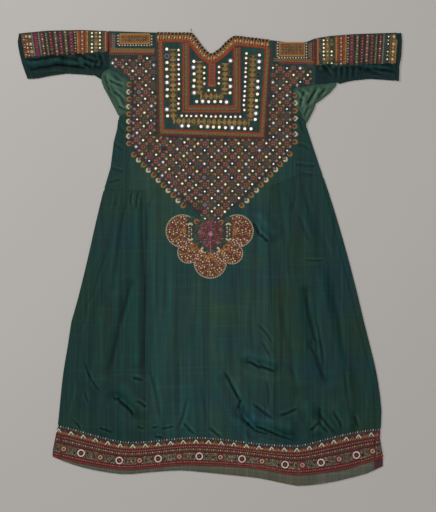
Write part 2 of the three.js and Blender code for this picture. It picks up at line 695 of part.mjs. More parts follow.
/** A gusset is folded along its free edge, with puckers on its front. */
function addGusset(name, gusset) {
  const edge = gussetEdge(gusset);
  const outline = pieceOutline([...points(gusset.seam).slice(1, -1), ...edge]);
  const cloth = {
    left: Math.min(...outline.map((p) => p.x)) - GUSSET_LATTICE,
    right: Math.max(...outline.map((p) => p.x)) + GUSSET_LATTICE,
    foot: Math.min(...outline.map((p) => p.y)) - GUSSET_LATTICE,
    top: Math.max(...outline.map((p) => p.y)) + GUSSET_LATTICE,
    lattice: GUSSET_LATTICE,
    lift: (x, y) => gussetLift(outline, edge, x, y),
  };
  const layers = clothPiece(cloth, FRONT, outline).add(flatWall(outline, BACK));
  const bend = fold(gusset.inward < 0 ? edge : edge.slice().reverse());
  add(name, layers.add(bend), SATIN_PALE);
}

/** The left sleeve is a flat tube, folded along its top and its underarm. */
function addSleeveLeft() {
  const gusset = gussetSeam(GUSSET_LEFT, 0, GUSSET_LEFT.corner);
  const topFold = offsetLine(points(TOP_LEFT.slice(0, 4)), -FOLD_OUTER);
  const underFold = offsetLine(points([CUFF_LEFT.at(-1), ...UNDER_LEFT]), FOLD_OUTER);
  const back = pieceOutline([
    ...topFold, ...gusset.slice().reverse(), ...underFold.slice().reverse(),
    ...points(CUFF_LEFT).reverse().slice(1),
  ]);
  const cuff = cuffFrontLeft();
  const front = pieceOutline([
    ...topFold.slice(1), ...gusset.slice().reverse(), ...underFold.slice(2).reverse(),
    ...cuff.slice().reverse(),
  ]);
  const sleeve = clothPiece(SLEEVE_CLOTH_LEFT, FRONT, front)
    .add(flatWall(back, BACK))
    .add(fold([cuff[0], ...topFold.slice(1)]))
    .add(fold([...underFold.slice(2).reverse(), cuff.at(-1)]));
  add('sleeve_left', sleeve, SATIN_SLEEVE);
  const facing = pieceOutline([...points(CUFF_LEFT), ...cuff.slice().reverse()]);
  add('cuff_facing_left', flatWall(facing, FRONT), FACING);
}

/** The right sleeve, the same way, with the binding of its cuff. */
function addSleeveRight() {
  const gusset = gussetSeam(GUSSET_RIGHT, 0, GUSSET_RIGHT.corner);
  const topFold = offsetLine(points(TOP_RIGHT.slice(4)), -FOLD_OUTER);
  const underFold = offsetLine(points([CUFF_RIGHT.at(-1), ...UNDER_RIGHT]), -FOLD_OUTER);
  const back = pieceOutline([
    ...topFold, ...points(CUFF_RIGHT).slice(0, -1), ...underFold, ...gusset,
  ]);
  const cuff = shifted(points(CUFF_RIGHT), -CUFF_BINDING);
  const topEdge = [...topFold.slice(0, -1), ...points([BINDING_TOP_RIGHT])];
  const underEdge = [new THREE.Vector2(cuff.at(-1).x, underFold[0].y), ...underFold.slice(1)];
  const front = pieceOutline([...topEdge, ...cuff.slice(0, -1), ...underEdge, ...gusset]);
  const sleeve = clothPiece(SLEEVE_CLOTH_RIGHT, FRONT, front)
    .add(flatWall(back, BACK))
    .add(fold(topEdge))
    .add(fold(underEdge));
  add('sleeve_right', sleeve, SATIN_SLEEVE);
  const strip = pieceOutline([
    ...points([BINDING_TOP_RIGHT, CUFF_TOP_RIGHT, ...CUFF_RIGHT]), ...cuff.slice().reverse(),
  ]);
  const thick = { low: FRONT.low, high: FRONT.high + THREAD / 2 };
  add('cuff_binding_right', flatWall(strip, thick), FACING);
}

/** The front's own edge at the left cuff, from the top fold to the underarm. */
function cuffFrontLeft() {
  const rows = [CUFF_TOP_LEFT, ...CUFF_LEFT];
  return rows.map((row, i) => {
    const share = i / (rows.length - 1);
    const width = THREE.MathUtils.lerp(CUFF_FACING.top, CUFF_FACING.foot, share);
    return new THREE.Vector2(row.x + width, row.y + (i === rows.length - 1 ? FOLD_OUTER : 0));
  });
}

/** The border round the skirt's foot: the back's ends come forward round both sides. */
function addHem() {
  const front = [...hemLine('top', HEM_LEFT, HEM_RIGHT), ...hemLine('edge', HEM_RIGHT, HEM_LEFT)];
  add('hem_band_front', clothPiece(SKIRT, FRONT, pieceOutline(front)), HEM_WORK);

  const leftEdge = hemSide('left', FOLD_OUTER);
  const rightEdgeLine = hemSide('right', -FOLD_OUTER);
  const back = pieceOutline([
    ...hemLine('top', leftEdge[0].x, rightEdgeLine[0].x),
    ...rightEdgeLine.slice(1),
    ...hemLine('low', rightEdgeLine.at(-1).x, leftEdge.at(-1).x).slice(0, -1),
    ...leftEdge.slice().reverse().slice(0, -1),
  ]);
  const leftWrap = pieceOutline([
    ...hemLine('top', leftEdge[0].x, HEM_LEFT), ...hemLine('edge', HEM_LEFT, leftEdge.at(-1).x),
    ...leftEdge.slice(1, -1).reverse(),
  ]);
  const rightWrap = pieceOutline([
    ...hemLine('top', HEM_RIGHT, rightEdgeLine[0].x), ...rightEdgeLine.slice(1),
    ...hemLine('edge', rightEdgeLine.at(-1).x, HEM_RIGHT).slice(1),
  ]);
  const band = flatWall(back, BACK)
    .add(flatWall(leftWrap, FRONT))
    .add(flatWall(rightWrap, FRONT))
    .add(fold(leftEdge.slice().reverse()))
    .add(fold(rightEdgeLine));
  add('hem_band_back', band, HEM_WORK);

  const facing = [...hemLine('edge', HEM_LEFT, HEM_RIGHT), ...hemLine('low', HEM_RIGHT, HEM_LEFT)];
  const thin = { low: FRONT.low, high: FRONT.low + THREAD };
  add('hem_facing', flatWall(pieceOutline(facing), thin), FACING);
}

/** One end of the hem border, from its top to the front's lower edge. */
function hemSide(column, inset) {
  const near = SIDES.at(-3)[column];
  const far = SIDES.at(-1)[column];
  const top = hemAt('top', near);
  const foot = hemAt('edge', far);
  return shifted(sideLine(column, top, foot), inset);
}

function addNeck() {
  const neck = neckPath.slice(NECK_FIRST, NECK_LAST + 1);
  const round = ribbon(neck, 0, BINDING);
  const shoulders = [neckPath.slice(0, NECK_FIRST + 1), neckPath.slice(NECK_LAST)];
  let binding = flatWall(round, { low: FRONT.low, high: BINDING_HEIGHT - FOLD_EASE })
    .add(flatWall(round, { low: FOLD_EASE, high: BACK.high }));
  for (const shoulder of shoulders) {
    const strip = ribbon(shoulder, 0, BINDING - SEAM_GAP);
    binding = binding.add(flatWall(strip, { low: 0, high: BINDING_HEIGHT }));
  }
  add('neck_binding', binding, OCHRE_WORK);

  const inset = BINDING + 2 * SEAM_GAP;
  add('neck_band', flatWall(ribbon(neckPath, inset, inset + NECK_BAND), WORKED), OCHRE_WORK);
  const { left, right, top, foot } = PLACKET;
  const placket = points([
    { x: left, y: top }, { x: right, y: top }, { x: right, y: foot }, { x: left, y: foot },
  ]);
  add('neck_placket', flatWall(placket, WORKED), RED_WORK);
}

/** A border worked along three sides of a chest, open at the top. */
function openFrame(corners, width) {
  const line = points(corners);
  return [...line, ...offsetLine(line, width).reverse()];
}

function addYoke() {
  const outer = openFrame([
    { x: YOKE.left, y: YOKE.leftTop }, { x: YOKE.leftFoot, y: YOKE.foot },
    { x: YOKE.rightFoot, y: YOKE.foot - YOKE.drop }, { x: YOKE.right, y: YOKE.rightTop },
  ], YOKE_BORDER);
  add('yoke_border_outer', flatWall(outer, WORKED), RED_WORK);
  const { left, leftTop, right, rightTop, foot, border } = YOKE_INNER;
  const inner = openFrame([
    { x: left, y: leftTop }, { x: left, y: foot }, { x: right, y: foot }, { x: right, y: rightTop },
  ], border);
  add('yoke_border_inner', flatWall(inner, WORKED), RED_WORK);
}

function addShoulderBoxes() {
  const left = points([
    { x: BOX_LEFT.left, y: BOX_LEFT.leftTop }, { x: BOX_LEFT.right, y: BOX_LEFT.rightTop },
    { x: BOX_LEFT.right, y: BOX_LEFT.foot }, { x: BOX_LEFT.left, y: BOX_LEFT.foot },
  ]);
  add('shoulder_box_left', flatWall(left, WORKED), OCHRE_WORK);
  const topRight = points(TOP_RIGHT.slice(0, 5)).map((p) => p.setY(p.y - BOX_RIGHT.inset));
  const right = [
    ...topRight.map((p) => p.setX(THREE.MathUtils.clamp(p.x, BOX_RIGHT.left, BOX_RIGHT.right))),
    new THREE.Vector2(BOX_RIGHT.right, BOX_RIGHT.rightFoot),
    new THREE.Vector2(BOX_RIGHT.left, BOX_RIGHT.leftFoot),
  ];
  add('shoulder_box_right', flatWall(right, WORKED), OCHRE_WORK);
}

/** The trellis of mirrors round the yoke, down to its tip. */
function trellisOutline() {
  const gap = 2 * SEAM_GAP;
  return [
    ...points(TRELLIS_LEFT),
    new THREE.Vector2(TRELLIS_TIP.x, TRELLIS_TIP.y),
    ...points(TRELLIS_RIGHT),
    new THREE.Vector2(YOKE.rightFoot + gap, YOKE.foot - YOKE.drop - gap),
    new THREE.Vector2(YOKE.leftFoot - gap, YOKE.foot - gap),
  ];
}

function addTrellisAndMedallion() {
  const trellis = trellisOutline();
  add('trellis_field', clothPiece(SKIRT, WORKED, trellis), TRELLIS_WORK);
  let outline = flatWall(points(MEDALLION_HEART), { low: BELOW, high: ABOVE });
  for (const lobe of MEDALLION_LOBES) {
    const disc = new THREE.CylinderGeometry(lobe.radius, lobe.radius, ABOVE - BELOW, LOBE_SIDES);
    disc.rotateX(Math.PI / 2).translate(lobe.x, lobe.y, (ABOVE + BELOW) / 2);
    outline = outline.add(solidFrom(disc));
  }
  const grown = flatWall(offsetLine(trellis, -SEAM_GAP, true), { low: 2 * BELOW, high: 2 * ABOVE });
  const wall = bentWall(SKIRT, WORKED).intersect(outline).subtract(grown);
  add('medallion', wall, OCHRE_WORK);
}

function addSleeveBorders() {
  const { start, footGap, leftFoot, leftRise, rightFoot, rightRise } = SLEEVE_BORDER;
  const drop = start + FOLD_OUTER;
  const cuff = cuffFrontLeft();
  const topLeft = points(TOP_LEFT.slice(1, 4)).map((p) => p.setY(p.y - drop));
  topLeft[2].setX(ARMHOLE_LEFT - start);
  const left = [
    new THREE.Vector2(cuff[0].x + start, cuff[0].y - drop),
    ...topLeft,
    new THREE.Vector2(ARMHOLE_LEFT - start, leftFoot + leftRise),
    new THREE.Vector2(cuff[3].x + footGap, leftFoot),
  ];
  add('sleeve_border_left', clothPiece(SLEEVE_CLOTH_LEFT, WORKED, left), RED_WORK);
  const topRight = points(TOP_RIGHT.slice(4, 7)).map((p) => p.setY(p.y - drop));
  topRight[0].setX(ARMHOLE_RIGHT + start);
  const edge = CUFF_RIGHT[0].x - CUFF_BINDING - 2 * footGap;
  const right = [
    new THREE.Vector2(ARMHOLE_RIGHT + start, rightFoot),
    new THREE.Vector2(edge - footGap, rightFoot + rightRise),
    new THREE.Vector2(edge, TOP_RIGHT.at(-1).y - drop - 1),
    ...topRight.reverse(),
  ];
  add('sleeve_border_right', clothPiece(SLEEVE_CLOTH_RIGHT, WORKED, right), RED_WORK);
}

addBody();
addSides();
addGores();
addGusset('gusset_left', GUSSET_LEFT);
addGusset('gusset_right', GUSSET_RIGHT);
addSleeveLeft();
addSleeveRight();
addHem();
addNeck();
addYoke();
addShoulderBoxes();
addTrellisAndMedallion();
addSleeveBorders();

// The origin lies under the middle of the whole dress
const middle = new THREE.Box3().setFromObject(dress).getCenter(new THREE.Vector3());
dress.position.set(-middle.x, -middle.y, 0);

export default dress;
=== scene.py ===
import math

import bpy
import numpy as np
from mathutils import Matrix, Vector, geometry
from mathutils.bvhtree import BVHTree


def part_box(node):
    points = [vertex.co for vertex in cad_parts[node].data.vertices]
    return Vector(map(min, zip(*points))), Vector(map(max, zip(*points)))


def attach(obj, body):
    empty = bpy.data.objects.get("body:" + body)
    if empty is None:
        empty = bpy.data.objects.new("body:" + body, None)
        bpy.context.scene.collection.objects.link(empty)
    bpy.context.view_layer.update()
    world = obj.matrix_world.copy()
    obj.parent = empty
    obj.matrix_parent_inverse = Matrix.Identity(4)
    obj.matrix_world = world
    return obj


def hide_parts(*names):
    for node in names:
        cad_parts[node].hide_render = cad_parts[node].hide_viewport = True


# A woman's festive dress of dark green silk satin, laid out flat, with silk embroidery and
# small mirrors. The frame holds the garment's pieces, and this script gives them their cloth,
# creases, needlework and mirrors. Places are in millimetres on the dress as it is drawn, with
# X from sleeve to sleeve and Y up to the neck, until a mesh is made.

bl_info = {
    "name": "Embroidered Satin Dress",
    "version": (1, 0, 0),
    "blender": (4, 5, 0),
    "location": "View3D > Sidebar > Dress",
    "description": "Cloth, needlework and mirrors of a satin dress laid out flat",
    "category": "Object",
}

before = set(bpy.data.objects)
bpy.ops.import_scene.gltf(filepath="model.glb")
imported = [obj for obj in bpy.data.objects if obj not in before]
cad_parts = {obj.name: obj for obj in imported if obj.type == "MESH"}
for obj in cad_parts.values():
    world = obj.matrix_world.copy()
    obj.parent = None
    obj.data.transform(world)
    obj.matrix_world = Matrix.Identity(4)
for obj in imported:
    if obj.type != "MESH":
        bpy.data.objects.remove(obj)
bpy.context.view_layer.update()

MM = 0.001
YOKE_CORNER = (-140.0, 314.0)  # lower left corner of the yoke's outer border, as drawn
YOKE_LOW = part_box("yoke_border_outer")[0]
SHIFT = np.array([YOKE_LOW.x / MM - YOKE_CORNER[0], YOKE_LOW.y / MM - YOKE_CORNER[1], 0.0])

# The cloth and how it lies
WALL = 1.2  # thickness of the cloth
THIN_WALL = 0.8  # thickness of the hem's facing
FRONT_TOP = 2.7  # height of the front's upper face where it lies flat
FACING_TOP = 2.3  # height of the facing's upper face
BINDING_TOP = 3.1  # height of the right cuff's binding
NECK_BINDING_TOP = 3.6  # height of the neck's binding
READ_DROP = 0.02  # how far below a face's height the frame's faces are looked for
SEAM_DROP = 0.45  # how far a sewn edge sinks into its seam
SEAM_ROUND = 1.6  # width of the edge that rounds into a seam
PAINTED_SHADE_REACH = 5.0  # how far round a point the cloth is compared with it, to find where the painted crease shade goes
PAINTED_SHADE_FULL_DEPTH = 0.7  # how deep a hollow is whose painted shade shows in full
LOWEST = -0.2  # the front comes no nearer to the back than this below its flat height
FOLD_RADIUS = FRONT_TOP / 2
FOLD_STEPS = 5  # facets of a folded edge
BACK_GRID = 14.0  # spacing of the points of the flat back

# Sides of the skirt, each row a level with the left side and the right gore's seam
SIDES = (
    (-550, -418, 439), (-500, -414, 439), (-470, -407, 439), (-436, -401, 439),
    (-394, -397, 438), (-309, -388, 428), (-224, -374, 407), (-170, -366, 393), (-118, -351, 381),
    (-12, -325, 354), (94, -301, 328), (180, -280, 307), (240, -262, 289),
    (300, -255, 269), (340, -245, 256), (370, -241, 249),
)
LOFT = 4.0  # how far the skirt stands over its flat height
SIDE_FLAT = 38  # this near to a side the skirt has no loft
SIDE_FULL = 80  # this far from the sides it has all its loft
CHEST_FLAT = 190  # level above which it has no loft
CHEST_FULL = 90  # level below which it has all its loft
HEM_FULL = -430  # level where the loft begins to sink to the hem
HEM_REST = -500  # level where it has sunk
HEM_SHARE = 0.45  # share of the loft that is left there
SLEEVE_SHARE = 1.3  # how much deeper the sleeves' creases are than the skirt's
CREASE_RIDGE = 0.4  # height of the ridge beside a crease, as a share of its depth
FOLD_SHARE = 0.6  # how much of a main fold's height the broad form carries; creases do the rest

# Main folds of the skirt, as on the frame: x1, y1, x2, y2, reach, rise
FOLDS = (
    (-262, 60, -292, -160, 38, 3), (-228, 150, -254, -73, 28, -3),
    (-272, 20, -316, -160, 28, -2), (-211, -73, -264, -298, 28, -3.5),
    (-240, -60, -302, -330, 34, 3), (-190, 110, -192, -270, 28, 3),
    (-168, 180, -171, -300, 28, -4), (-254, -371, -204, -417, 28, -4),
    (-226, -348, -180, -404, 28, 5), (-287, -331, -280, -444, 32, 4),
    (-120, -150, -140, -440, 34, 3), (-52, -120, -60, -430, 40, 2.5),
    (20, -60, 20, -260, 34, 2), (41, -325, 77, -411, 28, -4),
    (77, -411, 114, -464, 28, -4), (74, -330, 112, -416, 28, 4),
    (120, -430, 206, -448, 28, 7), (116, -466, 220, -484, 28, -4),
    (101, -280, 170, -302, 28, -4), (100, -258, 165, -276, 28, 4),
    (114, 93, 157, 43, 28, -3), (132, 104, 168, 66, 28, 4),
    (220, 190, 222, 100, 28, -2), (256, -93, 276, -232, 28, -4),
    (276, -232, 299, -325, 28, -4), (304, -60, 336, -330, 42, 4),
    (222, -60, 240, -330, 36, 3.5), (290, -417, 332, -464, 28, -4),
    (256, -400, 284, -452, 28, 5), (334, -400, 366, -440, 30, 4),
)

# Creases of the skirt: x1, y1, x2, y2, half width, depth. A ridge stands beside each one, on
# the left of its direction.
CREASES = (
    (-224, 166, -254, -73, 7, 0.9), (-277, 7, -323, -113, 6, 0.8),
    (-323, -113, -346, -192, 5, 0.7), (-211, -73, -244, -185, 6, 0.9),
    (-244, -185, -264, -298, 6, 0.9), (-323, -305, -293, -351, 3, 0.7),
    (-330, -358, -320, -384, 3, 0.6), (-254, -371, -240, -376, 4, 1.1),
    (-240, -376, -204, -417, 4.5, 1.7), (-201, -318, -178, -328, 4, 1.2),
    (-194, -381, -168, -394, 3.5, 1.3), (-191, -449, -174, -452, 2.6, 1.0),
    (-151, -450, -138, -447, 2.6, 1.0), (-125, -452, -98, -448, 2.6, 1.1),
    (-290, -450, -260, -464, 3, 1.0), (-144, -474, -125, -478, 3, 1.0),
    (-158, -305, -131, -424, 6, 0.8), (-120, -60, -128, -250, 9, 0.5),
    (-92, -280, -84, -420, 7, 0.5), (-40, -150, -46, -330, 8, 0.5),
    (-20, -330, -12, -440, 6, 0.5), (-350, -230, -362, -330, 6, 0.7),
    (-304, 60, -318, -20, 6, 0.5), (-366, -340, -378, -420, 5, 0.6),
    (41, -311, 81, -378, 4.5, 1.4), (81, -378, 77, -411, 4, 1.2),
    (77, -411, 114, -464, 4.5, 1.5), (114, -464, 207, -490, 4, 1.2),
    (114, 93, 130, 60, 4, 1.3), (130, 60, 157, 43, 4, 1.4), (220, 205, 220, 126, 6, 0.8),
    (253, -7, 300, -7, 3, 0.6), (256, -93, 276, -232, 6, 1.2),
    (276, -232, 299, -325, 6, 1.2), (283, -166, 299, -285, 4, 0.8),
    (101, -278, 134, -291, 4, 1.4), (134, -291, 170, -301, 4, 1.4),
    (117, -391, 167, -424, 4, 1.1), (187, -417, 230, -404, 4, 1.1),
    (94, -431, 117, -460, 4.5, 2.0), (117, -460, 160, -474, 4.5, 2.2),
    (160, -474, 220, -484, 4.5, 1.8), (127, -451, 187, -474, 4, 1.7),
    (289, -417, 332, -464, 4.5, 1.0), (293, -437, 313, -464, 4, 1.0),
    (266, -457, 289, -437, 4, 1.2), (293, -396, 290, -450, 4, 0.6),
    (130, -179, 167, -225, 3.5, 0.6), (137, -225, 160, -262, 3.5, 0.6),
    (60, -60, 78, -180, 8, 0.4), (108, -120, 112, -240, 7, 0.4),
    (20, -200, 30, -300, 8, 0.4), (190, -120, 204, -260, 8, 0.7),
    (214, -290, 232, -380, 7, 0.7), (330, -120, 352, -260, 7, 0.7),
    (352, -300, 372, -400, 6, 0.7), (396, -300, 410, -400, 5, 0.6),
    (236, 110, 268, 40, 6, 0.6), (300, 60, 318, -20, 6, 0.5),
    (-262, 168, -268, 128, 3, 0.8), (-246, 170, -250, 136, 3, 0.7), (-228, 171, -236, 122, 3, 0.8),
    (-207, 172, -209, 140, 3, 0.7), (-190, 172, -193, 132, 3, 0.8), (-178, 160, -178, -40, 4, 0.5),
    (-60, -380, -84, -452, 4.5, 0.8), (-330, -280, -318, -330, 4, 0.6), (150, -330, 158, -392, 4, 0.7),
    (206, 30, 214, -60, 5, 0.5), (340, -40, 350, -110, 5, 0.5), (250, 190, 262, 120, 5, 0.6),
    (330, -410, 348, -452, 4, 0.9), (384, -420, 392, -452, 4, 0.8),
    (-366, -430, -340, -452, 3, 0.8), (-70, -440, -40, -466, 4, 0.9),
    (0, -452, 30, -474, 4, 0.9), (186, 190, 196, 40, 6, 0.4),
)

# Creases of the narrow pieces under the arms
SIDE_CREASES = (
    (222, 247, 276, 243, 3.5, 1.1), (246, 224, 272, 218, 3, 0.8), (236, 300, 262, 286, 4, 0.7),
    (250, 330, 238, 372, 4, 0.7), (-258, 300, -232, 286, 4, 0.6), (-262, 236, -228, 228, 3.5, 0.6),
    (-244, 352, -226, 330, 4, 0.7), (-268, 200, -236, 206, 3.5, 0.5),
)

# Folds and creases of the sleeves, in the columns of the skirt's
SLEEVE_FOLDS = (
    (-478, 512, -400, 522, 14, 4.5), (-400, 522, -340, 512, 14, 4), (-440, 484, -372, 492, 12, 2.5),
    (-340, 524, -296, 508, 13, 3.5), (-455, 556, -330, 560, 26, 1.6), (-296, 540, -286, 500, 12, 3),
    (420, 556, 330, 548, 26, 1.6), (474, 500, 410, 506, 14, 4), (400, 512, 330, 508, 13, 3),
    (320, 524, 296, 500, 12, 3.5),
)
SLEEVE_CREASES = (
    (-478, 494, -408, 508, 4, 1.9), (-470, 524, -404, 534, 3.5, 1.2), (-452, 504, -420, 498, 3, 1.3),
    (-408, 508, -366, 500, 4, 1.6), (-366, 500, -318, 496, 4.5, 2.0), (-352, 492, -330, 500, 3.5, 1.6),
    (-336, 530, -290, 516, 3.5, 1.6), (-310, 490, -296, 520, 3.5, 1.7), (-292, 544, -284, 506, 3.5, 1.4),
    (-470, 484, -430, 486, 3, 1.1), (-424, 488, -384, 490, 3, 1.4), (-330, 510, -304, 496, 3.5, 1.5),
    (-380, 540, -330, 536, 3.5, 1.0), (-440, 544, -404, 546, 3.5, 0.8),
    (488, 490, 436, 502, 3.5, 1.5), (452, 484, 420, 492, 3, 1.3), (436, 512, 400, 520, 3.5, 1.2),
    (300, 506, 322, 484, 3.5, 1.7), (292, 540, 304, 502, 3.5, 1.5), (316, 526, 348, 516, 3.5, 1.2),
    (338, 502, 334, 474, 2.8, 1.5), (352, 503, 350, 474, 2.8, 1.5), (366, 503, 366, 476, 2.8, 1.4),
    (381, 503, 384, 476, 2.8, 1.4), (398, 502, 404, 480, 2.8, 1.3), (418, 502, 432, 484, 2.8, 1.2),
)

# Upper and lower edges of the sleeves, from left to right
SLEEVE_TOP_LEFT = ((-505, 595), (-430, 601), (-343, 603), (-268, 600))
SLEEVE_TOP_RIGHT = ((281, 581), (319, 587), (383, 592), (508, 596))
SLEEVE_UNDER_LEFT = ((-465, 472), (-423, 481), (-380, 487), (-338, 485), (-306, 482))
SLEEVE_UNDER_RIGHT = ((343, 459), (362, 465), (383, 469), (425, 473), (470, 470))
SLEEVE_FLAT = 16  # this near to its edges a sleeve has no loft
SLEEVE_FULL = 30  # this far from them it has all its loft
SLEEVE_LOFT = 1.2

# Puckers and creases of the gussets
GUSSET_PUCKER = {"rise": 3.6, "spacing": 24, "sway": 7, "flat": 6, "full": 24}
GUSSET_CREASES = (
    (-278, 478, -262, 430, 3.5, 1.8), (-262, 470, -232, 452, 3.5, 1.6),
    (-250, 440, -226, 410, 3.5, 1.5), (-240, 400, -224, 388, 3, 1.2),
    (280, 452, 262, 408, 4.5, 2.4), (304, 448, 290, 422, 3.5, 1.6), (250, 440, 240, 400, 3.5, 1.4),
    (262, 396, 250, 374, 3, 1.2),
)

# Slow waves of cloth that has lain folded: direction in degrees, wave length, height
RIPPLES = ((8, 61, 0.16), (97, 83, 0.12), (-14, 37, 0.09), (74, 47, 0.07), (3, 23, 0.05))


# Lines, outlines and heights

def smooth(value, low, high):
    """A smooth step from 0 at low to 1 at high."""
    t = np.clip((value - low) / (high - low), 0, 1)
    return t * t * (3 - 2 * t)


def read(rows, column, at):
    """A value of one column of a table, whose rows rise in their first column."""
    table = np.array(rows, float)
    return np.interp(at, table[:, 0], table[:, column])


def along_line(x, y, x1, y1, x2, y2):
    """How far along a line points lie, from 0 to 1, how far to its left, and its length."""
    length = math.hypot(x2 - x1, y2 - y1)
    dx, dy = (x2 - x1) / length, (y2 - y1) / length
    along = ((x - x1) * dx + (y - y1) * dy) / length
    return along, (y - y1) * dx - (x - x1) * dy, length


def fold_height(x, y, rows):
    """Height of broad folds: each is a rounded ridge or trough round its line."""
    height = np.zeros_like(x)
    for x1, y1, x2, y2, reach, rise in rows:
        along, left, length = along_line(x, y, x1, y1, x2, y2)
        beyond = (along - np.clip(along, 0, 1)) * length
        share = np.clip(np.hypot(left, beyond) / reach, 0, 1)
        height += rise * (1 + np.cos(math.pi * share)) / 2
    return height


def crease_height(x, y, rows):
    """Height of sharp creases: a narrow trough with a ridge on its left, fading to its ends."""
    height = np.zeros_like(x)
    for k, (x1, y1, x2, y2, width, depth) in enumerate(rows):
        along, left, _ = along_line(x, y, x1, y1, x2, y2)
        left = left + 0.45 * width * np.sin(along * (2.2 + k % 3) + k)
        ends = smooth(along, -0.18, 0.22) * (1 - smooth(along, 0.78, 1.18))
        trough = np.exp(-((left / width) ** 2))
        ridge = np.exp(-(((left - 1.9 * width) / (1.3 * width)) ** 2))
        height += depth * ends * (CREASE_RIDGE * ridge - trough)
    return height


def ripple_height(x, y):
    """Height of the slow waves all over the cloth."""
    height = np.zeros_like(x)
    for k, (angle, wave, rise) in enumerate(RIPPLES):
        turn = math.radians(angle)
        phase = 1.7 * k + 0.8 * np.sin((x * 0.6 - y * 0.4) / (wave * 1.3))
        across = x * math.cos(turn) + y * math.sin(turn)
        height += rise * np.sin(2 * math.pi * across / wave + phase)
    return height


def crease_share():
    """How much deeper the creases are than their tables say."""
    return bpy.context.scene.dress_cloth.creases


def skirt_lift(x, y):
    """Height of the skirt's and the chest's front over its flat height."""
    left, right = read(SIDES, 1, y), read(SIDES, 2, y)
    clear = np.minimum(x - left, right - x)
    below = 1 - smooth(y, CHEST_FULL, CHEST_FLAT)
    at_hem = 1 - (1 - HEM_SHARE) * (1 - smooth(y, HEM_REST, HEM_FULL))
    broad = LOFT * below * at_hem + FOLD_SHARE * fold_height(x, y, FOLDS)
    broad = smooth(clear, SIDE_FLAT, SIDE_FULL) * broad
    fine = crease_share() * crease_height(x, y, CREASES) + ripple_height(x, y) * (0.35 + 0.65 * below)
    return np.maximum(LOWEST, np.maximum(0, broad) + smooth(clear, 0, 24) * fine)


def side_lift(x, y):
    """Height of the pieces under the arms over their flat height."""
    creases = crease_share() * crease_height(x, y, SIDE_CREASES)
    return np.maximum(LOWEST, 0.4 + creases + 0.5 * ripple_height(x, y))


def sleeve_lift(x, y):
    """Height of a sleeve's front over its flat height."""
    top = np.where(x < 0, read(SLEEVE_TOP_LEFT, 1, x), read(SLEEVE_TOP_RIGHT, 1, x))
    under = np.where(x < 0, read(SLEEVE_UNDER_LEFT, 1, x), read(SLEEVE_UNDER_RIGHT, 1, x))
    edge = np.minimum(top - y, y - under)
    broad = smooth(edge, SLEEVE_FLAT, SLEEVE_FULL) * (SLEEVE_LOFT + fold_height(x, y, SLEEVE_FOLDS))
    fine = SLEEVE_SHARE * crease_share() * crease_height(x, y, SLEEVE_CREASES) + ripple_height(x, y)
    return np.maximum(LOWEST, broad + smooth(edge, 0, 12) * fine)


def flat_lift(x, y):
    """Height of narrow cloth that lies nearly flat."""
    return np.maximum(LOWEST, 0.4 * ripple_height(x, y))


def still(x, y):
    """No height at all, for the back, whose cloth lies flat."""
    return np.zeros_like(x)


# Outlines read from the frame

def frame_triangles(node):
    """A frame node's triangles, corner by corner, as drawn."""
    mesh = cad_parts[node].data
    mesh.calc_loop_triangles()
    places = np.empty(len(mesh.vertices) * 3)
    mesh.vertices.foreach_get("co", places)
    corners = np.empty(len(mesh.loop_triangles) * 3, int)
    mesh.loop_triangles.foreach_get("vertices", corners)
    return (places.reshape(-1, 3) / MM - SHIFT)[corners.reshape(-1, 3)]


def loop_area(loop):
    """Area inside an outline, below 0 where it runs clockwise."""
    x, y = loop.T
    return 0.5 * float(np.sum(x * np.roll(y, -1) - np.roll(x, -1) * y))


def frame_loops(node, under=False, floor=FRONT_TOP - READ_DROP):
    """Outlines of a node's upper faces above a floor, or of its faces that rest."""
    corners = frame_triangles(node)
    across = np.cross(corners[:, 1] - corners[:, 0], corners[:, 2] - corners[:, 0])
    facing = across[:, 2] / (np.linalg.norm(across, axis=1) + 1e-9)
    height = corners[:, :, 2].mean(1)
    chosen = (facing < -0.9) & (height < 0.02) if under else (facing > 0.5) & (height > floor)
    keys = np.round(corners[chosen][:, :, :2] * 50).astype(int)
    edges = set()
    for a, b, c in keys.tolist():
        ring = [tuple(a), tuple(b), tuple(c)]
        if len(set(ring)) == 3:
            edges.update(zip(ring, ring[1:] + ring[:1]))
    after = {a: b for a, b in edges if (b, a) not in edges}
    loops = []
    while after:
        start, here = after.popitem()
        ring = [start]
        while here != start and here in after:
            ring.append(here)
            here = after.pop(here)
        loop = np.array(ring, float) / 50
        if len(ring) > 2 and abs(loop_area(loop)) > 20:
            loops.append(loop if loop_area(loop) > 0 else loop[::-1])
    return sorted(loops, key=loop_area, reverse=True)


def dense(loop, step):
    """The same outline without its tiny edges, and with its long ones divided."""
    kept = [loop[0]]
    for point in loop[1:]:
        if np.hypot(*(point - kept[-1])) > 0.6:
            kept.append(point)
    out = []
    for a, b in zip(kept, kept[1:] + kept[:1]):
        count = max(1, math.ceil(np.hypot(*(b - a)) / step))
        out += [a + (b - a) * i / count for i in range(count)]
    return np.array(out)


def inside(x, y, loop):
    """Which points lie inside an outline."""
    found = np.zeros(len(x), bool)
    for (x1, y1), (x2, y2) in zip(loop, np.roll(loop, -1, 0)):
        if y1 != y2:
            crosses = (y1 > y) != (y2 > y)
            found ^= crosses & (x < (x2 - x1) * (y - y1) / (y2 - y1) + x1)
    return found


def distance_to(x, y, loop):
    """Distance from each point to the nearest point of an outline's edges."""
    least = np.full(len(x), 1e9)
    for (x1, y1), (x2, y2) in zip(loop, np.roll(loop, -1, 0)):
        length = (x2 - x1) ** 2 + (y2 - y1) ** 2 + 1e-12
        t = np.clip(((x - x1) * (x2 - x1) + (y - y1) * (y2 - y1)) / length, 0, 1)
        least = np.minimum(least, np.hypot(x - x1 - t * (x2 - x1), y - y1 - t * (y2 - y1)))
    return least


